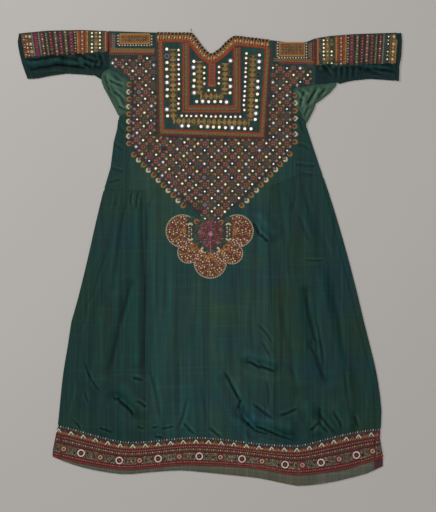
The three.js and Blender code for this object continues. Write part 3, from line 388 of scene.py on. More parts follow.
def normals_of(loop):
    """Directions out of a counterclockwise outline at its points."""
    after = np.roll(loop, -1, 0) - loop
    before = loop - np.roll(loop, 1, 0)
    along = after / np.linalg.norm(after, axis=1)[:, None]
    along = along + before / np.linalg.norm(before, axis=1)[:, None]
    along /= np.linalg.norm(along, axis=1)[:, None] + 1e-9
    return np.column_stack([along[:, 1], -along[:, 0]])


def folded_points(node, loop):
    """Which points of an outline lie on a fold, where the frame's cloth runs round to the back."""
    corners = frame_triangles(node)
    tree = BVHTree.FromPolygons(
        [Vector(p) for p in corners.reshape(-1, 3)],
        [(3 * i, 3 * i + 1, 3 * i + 2) for i in range(len(corners))],
    )
    flags = []
    for point, out in zip(loop, normals_of(loop)):
        probe = point + out * 0.7
        place = tree.ray_cast(Vector((probe[0], probe[1], 40)), Vector((0, 0, -1)))[0]
        flags.append(place is not None and 1.3 < place.z < FRONT_TOP - READ_DROP)
    return np.array(flags)


def filled(loop, grid, ring=SEAM_ROUND):
    """Points and triangles that fill an outline. The outline's own points come first."""
    low, high = loop.min(0), loop.max(0)
    xs = np.arange(low[0], high[0], grid)
    ys = np.arange(low[1], high[1], grid * 0.866)
    gx, gy = np.meshgrid(xs, ys)
    gx = gx + (np.arange(len(ys)) % 2)[:, None] * grid / 2
    gx, gy = gx.ravel(), gy.ravel()
    held = inside(gx, gy, loop)
    gx, gy = gx[held], gy[held]
    clear = distance_to(gx, gy, loop) > ring + 0.45 * grid
    inner = loop - normals_of(loop) * ring
    kept = inside(inner[:, 0], inner[:, 1], loop)
    kept &= distance_to(inner[:, 0], inner[:, 1], loop) > 0.8 * ring
    flat = np.vstack([loop, inner[kept], np.column_stack([gx[clear], gy[clear]])])
    count = len(loop)
    edges = [(i, (i + 1) % count) for i in range(count)]
    made = geometry.delaunay_2d_cdt([Vector(p) for p in flat], edges, [], 1, 1e-5)
    points = np.array([(p.x, p.y) for p in made[0]])
    faces = np.array(made[2])
    a, b, c = points[faces[:, 0]], points[faces[:, 1]], points[faces[:, 2]]
    turned = (b[:, 0] - a[:, 0]) * (c[:, 1] - a[:, 1]) < (b[:, 1] - a[:, 1]) * (c[:, 0] - a[:, 0])
    faces[turned] = faces[turned][:, ::-1]
    return points, faces


def rim_edges(faces):
    """Directed edges that only one triangle has."""
    edges = np.vstack([faces[:, [0, 1]], faces[:, [1, 2]], faces[:, [2, 0]]])
    low = edges.min(1).astype(np.int64)
    high = edges.max(1).astype(np.int64)
    keys = low * (high.max() + 1) + high
    _, first, counts = np.unique(keys, return_index=True, return_counts=True)
    return edges[first[counts == 1]]


def wall(points, faces, top, bottom):
    """A closed wall between two heights over the same points."""
    count = len(points)
    rim = rim_edges(faces)
    sides = np.vstack([
        np.column_stack([rim[:, 0], rim[:, 0] + count, rim[:, 1] + count]),
        np.column_stack([rim[:, 0], rim[:, 1] + count, rim[:, 1]]),
    ])
    places = np.vstack([np.column_stack([points, top]), np.column_stack([points, bottom])])
    return places, np.vstack([faces, faces[:, ::-1] + count, sides])


def fold_bead(loop, flags):
    """The rounded edge along each folded stretch of an outline, from the front to the back."""
    out = normals_of(loop)
    angles = np.linspace(0, math.pi, FOLD_STEPS + 1)
    section = np.column_stack([np.sin(angles), np.cos(angles)]) * FOLD_RADIUS
    size = len(section)
    places = np.array([
        (p[0] + n[0] * s, p[1] + n[1] * s, FOLD_RADIUS + z)
        for p, n in zip(loop, out) for s, z in section
    ])
    faces = []
    count = len(loop)
    for i in np.flatnonzero(flags & np.roll(flags, -1)):
        a, b = i * size, ((i + 1) % count) * size
        for k in range(size):
            m = (k + 1) % size
            faces += [(a + k, a + m, b + m), (a + k, b + m, b + k)]
    for i in np.flatnonzero(flags & ~(np.roll(flags, -1) & np.roll(flags, 1))):
        if flags[(i + 1) % count]:
            faces += [(i * size, i * size + k + 1, i * size + k) for k in range(1, size - 1)]
        elif flags[i - 1]:
            faces += [(i * size, i * size + k, i * size + k + 1) for k in range(1, size - 1)]
    used = np.unique(np.array(faces, int)) if faces else np.array([], int)
    index = np.full(len(places), -1)
    index[used] = np.arange(len(used))
    return places[used], index[np.array(faces, int)] if faces else np.zeros((0, 3), int)


def joined(parts):
    """Several meshes' points and triangles as one."""
    places, faces, start = [], [], 0
    for part_places, part_faces in parts:
        places.append(part_places)
        faces.append(part_faces + start)
        start += len(part_places)
    return np.vstack(places), np.vstack(faces)


def mesh_object(name, places, faces, materials, indices=None, sharp=math.radians(50)):
    """A new object from points as drawn and triangles."""
    mesh = bpy.data.meshes.new(name)
    mesh.vertices.add(len(places))
    mesh.vertices.foreach_set("co", ((places + SHIFT) * MM).astype(np.float32).ravel())
    mesh.loops.add(faces.size)
    mesh.loops.foreach_set("vertex_index", faces.astype(np.int32).ravel())
    mesh.polygons.add(len(faces))
    mesh.polygons.foreach_set("loop_start", np.arange(0, faces.size, 3, dtype=np.int32))
    if indices is not None:
        mesh.polygons.foreach_set("material_index", np.asarray(indices, np.int32))
    mesh.update(calc_edges=True)
    mesh.validate()
    mesh.shade_smooth()
    mesh.set_sharp_from_angle(angle=sharp)
    for material in materials:
        mesh.materials.append(material)
    made = bpy.data.objects.new(name, mesh)
    bpy.context.scene.collection.objects.link(made)
    return made


def cloth(name, node, material, lift, level=FRONT_TOP):
    """One cut piece: its walls over the frame node's outlines, with its folds and rolled edges. level is the
    height of its upper face."""
    settings = bpy.context.scene.dress_cloth
    parts, area, spans, layers = [], 0.0, [], 0
    for loop in frame_loops(node, floor=level - READ_DROP):
        edge = dense(loop, settings.grid)
        flags = folded_points(node, edge)
        points, faces = filled(edge, settings.grid)
        height = level + lift(points[:, 0], points[:, 1])
        thick = WALL if level > FACING_TOP else THIN_WALL
        top = height.copy()
        top[: len(edge)] -= np.where(flags, 0, SEAM_DROP)
        parts.append(wall(points, faces, top, np.minimum(height - thick, top - 0.3)))
        if flags.any():
            parts.append(fold_bead(edge, flags))
        area += loop_area(edge)
        spans.append(edge)
        layers = 1
    for loop in frame_loops(node, under=True):
        edge = dense(loop, BACK_GRID)
        points, faces = filled(edge, BACK_GRID)
        top = np.full(len(points), WALL)
        parts.append(wall(points, faces, top, np.zeros(len(points))))
        area += loop_area(edge)
        spans.append(edge)
        layers += 1
    places, faces = joined(parts)
    made = mesh_object(name, places, faces, [material])
    # Painted shade in the creases and painted light on the ridges, kept on the points for the material.
    mark_painted_crease_shade(made, lift)
    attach(made, "root")
    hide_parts(node)
    return made


def mark_painted_crease_shade(made, lift):
    """Keeps on each point how far it lies above or below the cloth around it, as painted shade and light: the
    material darkens the satin in its creases and lightens it on its ridges.
    """
    settings = bpy.context.scene.dress_cloth
    mesh = made.data
    places = np.empty(len(mesh.vertices) * 3, np.float32)
    mesh.vertices.foreach_get("co", places)
    x, y, _ = (places.reshape(-1, 3) / MM - SHIFT).T
    level = np.zeros_like(x)
    turns = np.arange(8) * math.pi / 4
    for turn in turns:
        level += lift(x + PAINTED_SHADE_REACH * math.cos(turn), y + PAINTED_SHADE_REACH * math.sin(turn)) / len(turns)
    values = np.clip((lift(x, y) - level) / PAINTED_SHADE_FULL_DEPTH, -1, 1) * settings.painted_crease_shade_strength
    kept = mesh.attributes.new("painted_crease_shade", "FLOAT", "POINT")
    kept.data.foreach_set("value", values.astype(np.float32))


# Materials

FADED_THREAD = (0.23, 0.17, 0.11, 1)
SILVERING = (0.4, 0.385, 0.34, 1)
CLOUDED_SILVERING = (0.15, 0.14, 0.11, 1)
YELLOWED = (0.95, 0.84, 0.56, 1)


def tone(red, green, blue):
    """A screen colour, from 0 to 255, as a linear one."""
    def linear(value):
        value /= 255
        return value / 12.92 if value <= 0.04045 else ((value + 0.055) / 1.055) ** 2.4
    return (linear(red), linear(green), linear(blue), 1.0)


def group_with(name, inputs, outputs):
    """An empty shader node group with its sockets, and its input and output nodes."""
    group = bpy.data.node_groups.new(name, "ShaderNodeTree")
    for label, kind, default in inputs:
        socket = group.interface.new_socket(name=label, in_out="INPUT", socket_type=kind)
        socket.default_value = default
    for label, kind in outputs:
        group.interface.new_socket(name=label, in_out="OUTPUT", socket_type=kind)
    return group, group.nodes.new("NodeGroupInput"), group.nodes.new("NodeGroupOutput")


def node_of(tree, kind, inputs=(), **settings):
    """A node with its settings, and its inputs set or linked."""
    node = tree.nodes.new(kind)
    for key, value in settings.items():
        setattr(node, key, value)
    for key, value in dict(inputs).items():
        if isinstance(value, bpy.types.NodeSocket):
            tree.links.new(value, node.inputs[key])
        else:
            node.inputs[key].default_value = value
    return node


def maths(tree, operation, a, b=0.0, clamp=False):
    """The result of one sum."""
    settings = {"operation": operation, "use_clamp": clamp}
    return node_of(tree, "ShaderNodeMath", {0: a, 1: b}, **settings).outputs[0]


def product(tree, a, b):
    """Node that multiplies two values."""
    return maths(tree, "MULTIPLY", a, b)


def total(tree, a, b):
    """Node that adds two values."""
    return maths(tree, "ADD", a, b)


def above(tree, value, level, gain):
    """How far a value lies over a level, times a gain, from 0 to 1."""
    return maths(tree, "MULTIPLY", maths(tree, "SUBTRACT", value, level, True), gain, True)


def around(tree, value, gain):
    """How far a noise lies from its middle, times a gain."""
    return product(tree, maths(tree, "SUBTRACT", value, 0.5), gain)


def mixed(tree, factor, a, b, blend="MIX"):
    """Two colours mixed."""
    inputs = {0: factor, 6: a, 7: b}
    return node_of(tree, "ShaderNodeMix", inputs, data_type="RGBA", blend_type=blend).outputs[2]


def gained(tree, colour, gain):
    """A colour made lighter or darker."""
    inputs = {0: colour, "Scale": gain}
    return node_of(tree, "ShaderNodeVectorMath", inputs, operation="SCALE").outputs[0]


def object_place(tree):
    """Places on the object, in metres."""
    return node_of(tree, "ShaderNodeTexCoord").outputs["Object"]


def stretched_noise(tree, coordinates, scale, detail=3.0, rough=0.5):
    """Noise whose grain is stretched along the axes, with scale in grains a metre."""
    mapping = node_of(tree, "ShaderNodeMapping", {"Vector": coordinates, "Scale": scale})
    noise = node_of(
        tree, "ShaderNodeTexNoise",
        {"Vector": mapping.outputs[0], "Scale": 1.0, "Detail": detail, "Roughness": rough},
    )
    return noise.outputs["Fac"]


def silk_group():
    """The look of old silk satin: warp streaks, pale weft bars, slow tints and fine slubs, with painted shade
    in the creases and painted light on the ridges.
    """
    if "Silk satin" in bpy.data.node_groups:
        return bpy.data.node_groups["Silk satin"]
    group, given, out = group_with(
        "Silk satin",
        [
            ("Color", "NodeSocketColor", (0.02, 0.05, 0.04, 1)),
            ("Cool tint", "NodeSocketColor", (0.01, 0.04, 0.06, 1)),
            ("Warm tint", "NodeSocketColor", (0.05, 0.06, 0.03, 1)),
            ("Streaks", "NodeSocketFloat", 0.35),
            ("Bars", "NodeSocketFloat", 0.25),
        ],
        [("Color", "NodeSocketColor"), ("Roughness", "NodeSocketFloat"), ("Height", "NodeSocketFloat")],
    )
    at = object_place(group)
    streak = stretched_noise(group, at, (420, 6, 40), 4)
    streak_wide = stretched_noise(group, at, (90, 2.4, 40), 3)
    bar = stretched_noise(group, at, (5, 150, 40), 3)
    slow = stretched_noise(group, at, (7, 4, 10), 2)
    slow_other = stretched_noise(group, at, (4, 9, 12), 2)
    weft = stretched_noise(group, at, (160, 1500, 200), 2)
    warmth, coolness = above(group, slow, 0.46, 3.4), above(group, slow_other, 0.5, 3.6)
    colour = mixed(group, warmth, given.outputs["Color"], given.outputs["Warm tint"])
    colour = mixed(group, coolness, colour, given.outputs["Cool tint"])
    light = total(group, around(group, streak, 1.5), around(group, streak_wide, 1.6))
    light = product(group, light, given.outputs["Streaks"])
    barred = product(group, maths(group, "SUBTRACT", bar, 0.55, True), given.outputs["Bars"])
    gain = total(group, total(group, light, 1.0), product(group, barred, 4.0))
    # Painted shade and light: the satin is darkened in its creases and lightened on its ridges, by how far
    # each point lies below or above the cloth around it.
    painted_crease_shade = node_of(group, "ShaderNodeAttribute", attribute_name="painted_crease_shade").outputs["Fac"]
    gain = product(group, gain, total(group, painted_crease_shade, 1.0))
    rough = total(group, 0.33, product(group, streak_wide, 0.22))
    height = total(group, product(group, streak, 0.6), product(group, weft, 0.35))
    group.links.new(gained(group, colour, gain), out.inputs["Color"])
    group.links.new(rough, out.inputs["Roughness"])
    group.links.new(height, out.inputs["Height"])
    return group


def thread_group():
    """The look of old silk thread: worn and faded patches, and the fine lines of its strands."""
    if "Silk thread" in bpy.data.node_groups:
        return bpy.data.node_groups["Silk thread"]
    group, given, out = group_with(
        "Silk thread",
        [("Color", "NodeSocketColor", (0.5, 0.4, 0.3, 1)), ("Fading", "NodeSocketFloat", 0.3)],
        [("Color", "NodeSocketColor"), ("Roughness", "NodeSocketFloat"), ("Height", "NodeSocketFloat")],
    )
    at = object_place(group)
    patch = stretched_noise(group, at, (70, 70, 70), 3)
    strand = stretched_noise(group, at, (900, 900, 900), 2)
    worn = product(group, maths(group, "SUBTRACT", patch, 0.5, True), given.outputs["Fading"])
    worn = maths(group, "MULTIPLY", worn, 4.0, True)
    colour = mixed(group, worn, given.outputs["Color"], FADED_THREAD)
    gain = total(group, 0.3, product(group, strand, 0.5))
    rough = total(group, 0.42, product(group, patch, 0.3))
    group.links.new(gained(group, colour, gain), out.inputs["Color"])
    group.links.new(rough, out.inputs["Roughness"])
    group.links.new(strand, out.inputs["Height"])
    return group


def new_material(name):
    """A new material with its node tree and its Principled shader."""
    material = bpy.data.materials.new(name)
    material.use_nodes = True
    return material, material.node_tree, material.node_tree.nodes["Principled BSDF"]


def surface_material(name, group, inputs, bump, distance, specular):
    """A material whose Principled shader takes colour, roughness and height from a group."""
    if name in bpy.data.materials:
        return bpy.data.materials[name]
    material, tree, shader = new_material(name)
    look = tree.nodes.new("ShaderNodeGroup")
    look.node_tree = group
    for key, value in inputs.items():
        look.inputs[key].default_value = value
    tree.links.new(look.outputs["Color"], shader.inputs["Base Color"])
    tree.links.new(look.outputs["Roughness"], shader.inputs["Roughness"])
    relief = node_of(
        tree, "ShaderNodeBump",
        {"Height": look.outputs["Height"], "Strength": bump, "Distance": distance * MM},
    )
    tree.links.new(relief.outputs[0], shader.inputs["Normal"])
    shader.inputs["Specular IOR Level"].default_value = specular
    return material


# The dress's cloths: setting that holds the colour, cool tint, warm tint, streaks, weft bars
CLOTHS = {
    "silk_centre": ("centre", (17, 49, 53), (33, 54, 40), 0.8, 0.3),
    "silk_gore": ("gores", (12, 43, 48), (25, 46, 33), 0.8, 0.3),
    "silk_gusset": ("gussets", (40, 68, 62), (56, 74, 56), 0.3, 0.2),
    "silk_sleeve": ("sleeves", (5, 29, 38), (14, 33, 27), 1.0, 0.3),
    "cuff_cloth": ("sleeves", (22, 38, 32), (40, 44, 28), 0.6, 0.5),
    "facing_cloth": ("lining", (62, 72, 70), (84, 76, 62), 0.6, 0.5),
    "hem_ground": ("hem", (44, 38, 44), (70, 50, 42), 0.5, 0.4),
}


def satin(name):
    """The material of one of the dress's cloths."""
    setting, cool, warm, streaks, bars = CLOTHS[name]
    inputs = {
        "Color": (*getattr(bpy.context.scene.dress_silks, setting), 1),
        "Cool tint": tone(*cool), "Warm tint": tone(*warm),
        "Streaks": streaks, "Bars": bars,
    }
    return surface_material(name, silk_group(), inputs, 0.25, 0.12, 0.06)


# Needlework

THREADS = {
    "crimson": (118, 30, 34),
    "red": (146, 44, 30),
    "orange": (170, 84, 34),
    "ochre": (158, 110, 50),
    "gold": (184, 142, 74),
    "cream": (222, 204, 162),
    "white": (240, 232, 214),
    "lilac": (158, 154, 172),
    "blue": (56, 68, 108),
    "olive": (100, 102, 56),
    "sage": (116, 124, 92),
    "rose": (168, 96, 92),
    "pink": (188, 128, 130),
    "magenta": (142, 42, 84),
    "maroon": (86, 26, 38),
    "black": (22, 22, 28),
    "green": (34, 66, 48),
    "grey": (138, 130, 118),
    "peach": (188, 116, 76),
    "mint": (146, 164, 122),
    "night": (26, 50, 46),
    "shadow": (92, 86, 82),
    "brown": (96, 58, 38),
    "teal": (36, 104, 84),
    "navy": (40, 66, 112),
    "khaki": (150, 124, 66),
    "clay": (146, 92, 70),
    "soot": (30, 42, 35),
}
COLOURS = list(THREADS)
GROUND = 0.4  # thickness of the cloth under dense work
GLASS = len(COLOURS)  # material index of a mirror
MIRROR_SIDES = 12
MIRROR_SPOKES = 16  # stitches in the ring that holds a mirror
MIRROR_BASE = 0.75  # height of a mirror over the cloth


def thread_materials():
    """One material for each thread, and the mirrors' at the end."""
    fading = bpy.context.scene.dress_needlework.fading
    made = []
    for name, rgb in THREADS.items():
        inputs = {"Color": tone(*rgb), "Fading": fading}
        made.append(surface_material(f"thread_{name}", thread_group(), inputs, 0.3, 0.1, 0.16))
    return [*made, mirror_material()]


def mirror_material():
    """Old silvered glass, clouded in places."""
    if "mirror_glass" in bpy.data.materials:
        return bpy.data.materials["mirror_glass"]
    material, tree, shader = new_material("mirror_glass")
    at = object_place(tree)
    cloud = stretched_noise(tree, at, (260, 260, 260), 3)
    colour = mixed(tree, above(tree, cloud, 0.45, 3.0), SILVERING, CLOUDED_SILVERING)
    warm = above(tree, stretched_noise(tree, at, (45, 45, 45), 1), 0.5, 5.0)
    colour = mixed(tree, warm, colour, YELLOWED, "MULTIPLY")
    tree.links.new(colour, shader.inputs["Base Color"])
    tree.links.new(product(tree, cloud, 0.34), shader.inputs["Roughness"])
    shader.inputs["Metallic"].default_value = 1.0
    return material


def spaced(path, step, closed=False):
    """Evenly spaced points along a path, with their directions. A track is one already."""
    if isinstance(path, tuple) and len(path) == 4 and isinstance(path[0], np.ndarray):
        return path
    path = np.array(path, float)
    if closed:
        path = np.vstack([path, path[:1]])
    lengths = np.hypot(*np.diff(path, axis=0).T)
    reached = np.concatenate([[0], np.cumsum(lengths)])
    count = max(1, round(reached[-1] / step))
    at = (np.arange(count) + 0.5) * reached[-1] / count
    x, y = np.interp(at, reached, path[:, 0]), np.interp(at, reached, path[:, 1])
    segment = np.clip(np.searchsorted(reached, at) - 1, 0, len(lengths) - 1)
    direction = np.diff(path, axis=0)[segment] / lengths[segment][:, None]
    return x, y, direction[:, 0], direction[:, 1]


def beside(path, distance):
    """A path moved to its right."""
    path = np.array(path, float)
    step = np.diff(path, axis=0)
    step /= np.linalg.norm(step, axis=1)[:, None]
    after = np.vstack([step, step[-1:]])
    mean = np.vstack([step[:1], step]) + after
    mean /= np.linalg.norm(mean, axis=1)[:, None]
    reach = distance / np.maximum(0.4, (mean * after).sum(1))
    return path + np.column_stack([mean[:, 1], -mean[:, 0]]) * reach[:, None]


def arc(x, y, radius, start, end, count=9):
    """Points along a circle's arc."""
    angles = np.linspace(start, end, count)
    return [(x + radius * math.cos(a), y + radius * math.sin(a)) for a in angles]


def numbers(value):
    """One number or several as an array."""
    return np.atleast_1d(np.asarray(value, float))


def within(x, y, loops, margin=0.0):
    """Which points lie inside one of the outlines, clear of its edge."""
    x, y = numbers(x), numbers(y)
    kept = np.zeros(len(x), bool)
    for loop in loops:
        kept |= inside(x, y, loop) & (distance_to(x, y, loop) > margin)
    return kept


def chosen(track, kept):
    """Some of the points of a track."""
    return tuple(part[kept] for part in track)


def clipped(track, loops, margin):
    """The points of a track that lie inside one of the outlines, clear of its edge."""
    return chosen(track, within(*track[:2], loops, margin))


def contour(loop, depth, step):
    """Evenly spaced points at one depth inside an outline, with their directions."""
    x, y, dx, dy = spaced(loop, step, closed=True)
    x, y = x - dy * depth, y + dx * depth
    kept = inside(x, y, loop) & (distance_to(x, y, loop) > depth - 0.25)
    return chosen((x, y, dx, dy), kept)


def colour_index(names):
    """Places of threads in the list of colours. Numbers stay as they are."""
    if isinstance(names, str):
        return np.array([COLOURS.index(names)])
    if isinstance(names, (int, np.integer)):
        return np.array([names])
    if isinstance(names, np.ndarray):
        return names
    return np.array([COLOURS.index(name) for name in names])


def in_turn(names, count):
    """Thread colours that take turns."""
    index = colour_index(names)
    return index[np.arange(count) % len(index)]


def half_across(x1, y1, x2, y2, width):
    """Half of a thread's width, square to its line."""
    length = np.hypot(x2 - x1, y2 - y1) + 1e-9
    return -(y2 - y1) / length * width / 2, (x2 - x1) / length * width / 2


class Needlework:
    """Stitches, knots and mirrors of one worked piece, gathered before they become its mesh."""

    def __init__(self, surface, seed):
        self.surface = surface
        self.random = np.random.default_rng(seed)
        self.places = []
        self.faces = []
        self.indices = []
        self.count = 0

    def keep(self, x, y, z, faces, colour):
        """Adds copies of one small form: x, y and z hold a row for each copy."""
        copies, corners = x.shape
        height = self.surface(x.ravel(), y.ravel()) + z.ravel()
        self.places.append(np.column_stack([x.ravel(), y.ravel(), height]))
        starts = self.count + np.arange(copies) * corners
        self.faces.append((np.array(faces)[None] + starts[:, None, None]).reshape(-1, 3))
        index = np.broadcast_to(colour_index(colour), (copies,))
        self.indices.append(np.repeat(index, len(faces)))
        self.count += copies * corners

    def ground(self, loops, colour, grid=6.0):
        """A thin cloth under the stitches."""
        for loop in loops:
            points, faces = filled(dense(loop, grid), grid, 0.8)
            height = self.surface(points[:, 0], points[:, 1])
            places, faces = wall(points, faces, height + GROUND, height + 0.03)
            self.places.append(places)
            self.faces.append(faces + self.count)
            self.indices.append(np.full(len(faces), colour_index(colour)[0]))
            self.count += len(places)

    def stitch(self, x1, y1, x2, y2, width, colour, rise=0.6, base=0.1):
        """Silk stitches, thin at both ends and rounded over."""
        given = np.broadcast_arrays(*[numbers(v) for v in (x1, y1, x2, y2, width, rise, base)])
        x1, y1, x2, y2, width, rise, base = [v.ravel() for v in given]
        nx, ny = half_across(x1, y1, x2, y2, width)
        mx, my = (x1 + x2) / 2, (y1 + y2) / 2
        x = np.column_stack([x1, mx + nx, mx, mx - nx, x2])
        y = np.column_stack([y1, my + ny, my, my - ny, y2])
        z = np.column_stack([base, base, base + rise, base, base])
        faces = [(0, 2, 1), (0, 3, 2), (4, 1, 2), (4, 2, 3), (0, 1, 3), (4, 3, 1)]
        self.keep(x, y, z, faces, colour)

    def bar(self, x1, y1, x2, y2, width, colour, rise=0.5, base=0.1):
        """Straight laid threads of even width."""
        x1, y1, x2, y2 = [numbers(v) for v in (x1, y1, x2, y2)]
        nx, ny = half_across(x1, y1, x2, y2, width)
        x = np.column_stack([x1 + nx, x1, x1 - nx, x2 + nx, x2, x2 - nx])
        y = np.column_stack([y1 + ny, y1, y1 - ny, y2 + ny, y2, y2 - ny])
        low, high = np.full(len(x1), base), np.full(len(x1), base + rise)
        z = np.column_stack([low, high, low, low, high, low])
        faces = [(0, 2, 1), (3, 4, 5), (0, 1, 4), (0, 4, 3), (1, 2, 5), (1, 5, 4), (2, 0, 3), (2, 3, 5)]
        self.keep(x, y, z, faces, colour)

    def knot(self, x, y, radius, colour, rise=0.9, base=0.2):
        """Small round knots with six sides."""
        x, y = numbers(x), numbers(y)
        radius = radius * bpy.context.scene.dress_needlework.knot_size
        angles = np.arange(6) * math.pi / 3
        px = np.column_stack([x, x[:, None] + radius * np.cos(angles), x])
        py = np.column_stack([y, y[:, None] + radius * np.sin(angles), y])
        pz = np.tile([base + rise, *[base] * 6, base], (len(x), 1))
        faces = [(0, 1 + k, 1 + (k + 1) % 6) for k in range(6)]
        faces += [(7, 1 + (k + 1) % 6, 1 + k) for k in range(6)]
        self.keep(px, py, pz, faces, colour)

    def chain(self, path, width, colour, step=3.4, base=0.1):
        """A row of chain stitches: each link is two threads that part and meet."""
        x, y, dx, dy = spaced(path, step)
        half = 0.62 * step
        x1, y1, x2, y2 = x - dx * half, y - dy * half, x + dx * half, y + dy * half
        self.bar(x1, y1, x2, y2, width * 0.85, colour, 0.25, base)
        for side in (-1, 1):
            ox, oy = -dy * side * width * 0.27, dx * side * width * 0.27
            self.stitch(x1 + ox, y1 + oy, x2 + ox, y2 + oy, width * 0.5, colour, 0.7, base)

    def laid(self, path, width, colours, step=1.1, lean=0.0, base=0.1, rise=0.5):
        """Satin stitches side by side across a path, in colours that take turns. lean slants them."""
        x, y, dx, dy = spaced(path, step)
        colour = in_turn(colours, len(x))
        sway = 1 + 0.12 * self.random.standard_normal(len(x))
        ax, ay = (-dy + lean * dx) * width / 2 * sway, (dx + lean * dy) * width / 2 * sway
        self.bar(x - ax, y - ay, x + ax, y + ay, step * 1.12, colour, rise, base)

    def serrated(self, path, narrow, wide, pitch, colours, step=1.5, base=0.2):
        """A strip of satin stitches whose edges run in and out."""
        x, y, dx, dy = spaced(path, step)
        share = 2 * np.abs((np.arange(len(x)) * step / pitch) % 1 - 0.5)
        half = (narrow + (wide - narrow) * share) / 2
        colour = self.random.choice(colour_index(colours), len(x))
        ax, ay = dy * half, dx * half
        self.bar(x - ax, y + ay, x + ax, y - ay, step * 1.15, colour, 0.5, base)

    def zigzag(self, path, reach, pitch, width, colour, base=0.3):
        """A thread that swings from side to side of a path."""
        x, y, dx, dy = spaced(path, pitch / 2)
        side = np.where(np.arange(len(x)) % 2, 1.0, -1.0) * reach / 2
        px, py = x - dy * side, y + dx * side
        self.bar(px[:-1], py[:-1], px[1:], py[1:], width, colour, 0.5, base)

    def dots(self, path, pitch, radius, colours, base=0.5):
        """Knots along a path, in colours that take turns."""
        x, y, _, _ = spaced(path, pitch)
        self.knot(x, y, radius, in_turn(colours, len(x)), 0.9, base)

    def mirrors(self, x, y, radius, rings, width=1.9, missing=0.0):
        """Mirrors held by a ring of buttonhole stitches, whose colours take turns."""
        x, y = numbers(x), numbers(y)
        count = len(x)
        angles = np.arange(MIRROR_SIDES) * 2 * math.pi / MIRROR_SIDES
        tilt = math.tan(math.radians(bpy.context.scene.dress_needlework.mirror_tilt))
        lean = tilt * self.random.standard_normal((2, count)) * 0.6
        there = self.random.random(count) >= missing
        cx, cy = np.cos(angles) * radius, np.sin(angles) * radius
        px = np.column_stack([x[:, None] + cx, x])[there]
        py = np.column_stack([y[:, None] + cy, y])[there]
        lift = lean[0][:, None] * cx + lean[1][:, None] * cy
        pz = (MIRROR_BASE + np.column_stack([lift, np.zeros(count)]))[there]
        faces = [(MIRROR_SIDES, k, (k + 1) % MIRROR_SIDES) for k in range(MIRROR_SIDES)]
        if there.any():
            self.keep(px, py, pz, faces, GLASS)
        ring = np.repeat(in_turn(rings, count), MIRROR_SPOKES)
        turn = np.arange(MIRROR_SPOKES) * 2 * math.pi / MIRROR_SPOKES
        turn = turn + 0.2 * self.random.random((count, 1))
        inner, outer, rim = radius - 0.9, radius + width, radius + 0.75 * width
        for start, end, slant, thick, rise, base in (
            (inner, outer, 0.0, 1.5, 0.75, MIRROR_BASE), (rim, rim, 0.46, 1.2, 0.7, 0.5),
        ):
            x1, y1 = x[:, None] + np.cos(turn) * start, y[:, None] + np.sin(turn) * start
            x2, y2 = x[:, None] + np.cos(turn + slant) * end, y[:, None] + np.sin(turn + slant) * end
            self.stitch(x1, y1, x2, y2, thick, ring, rise, base)

    def flowers(self, x, y, reach, petals, colours, turn, heart, threads, spread=0.34, base=0.15):
        """Flowers whose petals are a few long stitches each, some with a knot as their heart."""
        index = np.repeat(in_turn(colours, len(x)), petals * threads)
        fan = np.linspace(-1, 1, threads)
        angle = turn + np.arange(petals) * 2 * math.pi / petals
        angle = (angle[:, None] + spread * fan[None, :]).ravel()
        near, tip = reach * 0.16, np.tile(reach * (1 - 0.16 * fan ** 2), petals)
        cx, cy = np.cos(angle), np.sin(angle)
        px, py = x[:, None], y[:, None]
        self.stitch(
            px + cx * near, py + cy * near, px + cx * tip, py + cy * tip, reach * 0.34, index, 0.7, base,
        )
        if heart:
            self.knot(x, y, reach * 0.2, heart, 0.9, base + 0.45)

    def ovals(self, x, y, turn, length, width, colours, base=0.25):
        """Small leaves of three long stitches."""
        index = in_turn(colours, len(x))
        c, s = math.cos(turn), math.sin(turn)
        for side in (-1, 0, 1):
            px, py = x - s * side * width * 0.3, y + c * side * width * 0.3
            half = length / 2 * (1 - 0.14 * abs(side))
            self.stitch(
                px - c * half, py - s * half, px + c * half, py + s * half,
                width * 0.42, index, 0.7, base - 0.1 * abs(side),
            )

    def fill(self, loop, pitch, length, colours, turn=0.0, width=1.5, base=0.0, weights=None):
        """Rows of short stitches over an outline, in a random mix of colours."""
        low, high = loop.min(0), loop.max(0)
        c, s = math.cos(turn), math.sin(turn)
        span = np.hypot(*(high - low))
        middle = (low + high) / 2
        u, v = np.meshgrid(np.arange(-span / 2, span / 2, length), np.arange(-span / 2, span / 2, pitch))
        u = (u + (np.arange(u.shape[0]) % 3)[:, None] * length / 3).ravel()
        v = v.ravel()
        x, y = middle[0] + c * u - s * v, middle[1] + s * u + c * v
        held = inside(x, y, loop)
        held[held] = distance_to(x[held], y[held], loop) > length * 0.4
        x, y = x[held], y[held]
        colour = self.random.choice(colour_index(colours), len(x), p=weights)
        half = length * 0.62
        self.stitch(x - c * half, y - s * half, x + c * half, y + s * half, width, colour, 0.45, base)

    def build(self, name, node):
        """The worked piece's mesh, which stands for its frame node if it has one."""
        places, faces = np.vstack(self.places), np.vstack(self.faces)
        indices = np.concatenate(self.indices)
        made = mesh_object(name, places, faces, thread_materials(), indices, math.radians(80))
        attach(made, "root")
        if node:
            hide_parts(node)
        return made


# The worked pieces

def front(x, y):
    """Height of the front's upper face."""
    return FRONT_TOP + skirt_lift(x, y)


def sleeve_front(x, y):
    """Height of a sleeve's upper face."""
    return FRONT_TOP + sleeve_lift(x, y)


# Left shoulder, down and up the open neck, right shoulder
NECK = (
    (-139, 596), (-46, 595), (-36, 582), (-22, 563), (-9, 547), (1, 540), (10, 541), (28, 554),
    (44, 571), (60, 584), (70, 587), (160, 576),
)
NECK_BAND_MIDDLE = 12.4  # from the neck's edge to the middle of the worked band
LOOSE_THREADS = ((-48.5, 597, -49.5, 607), (-48.5, 597, -47.5, 607))

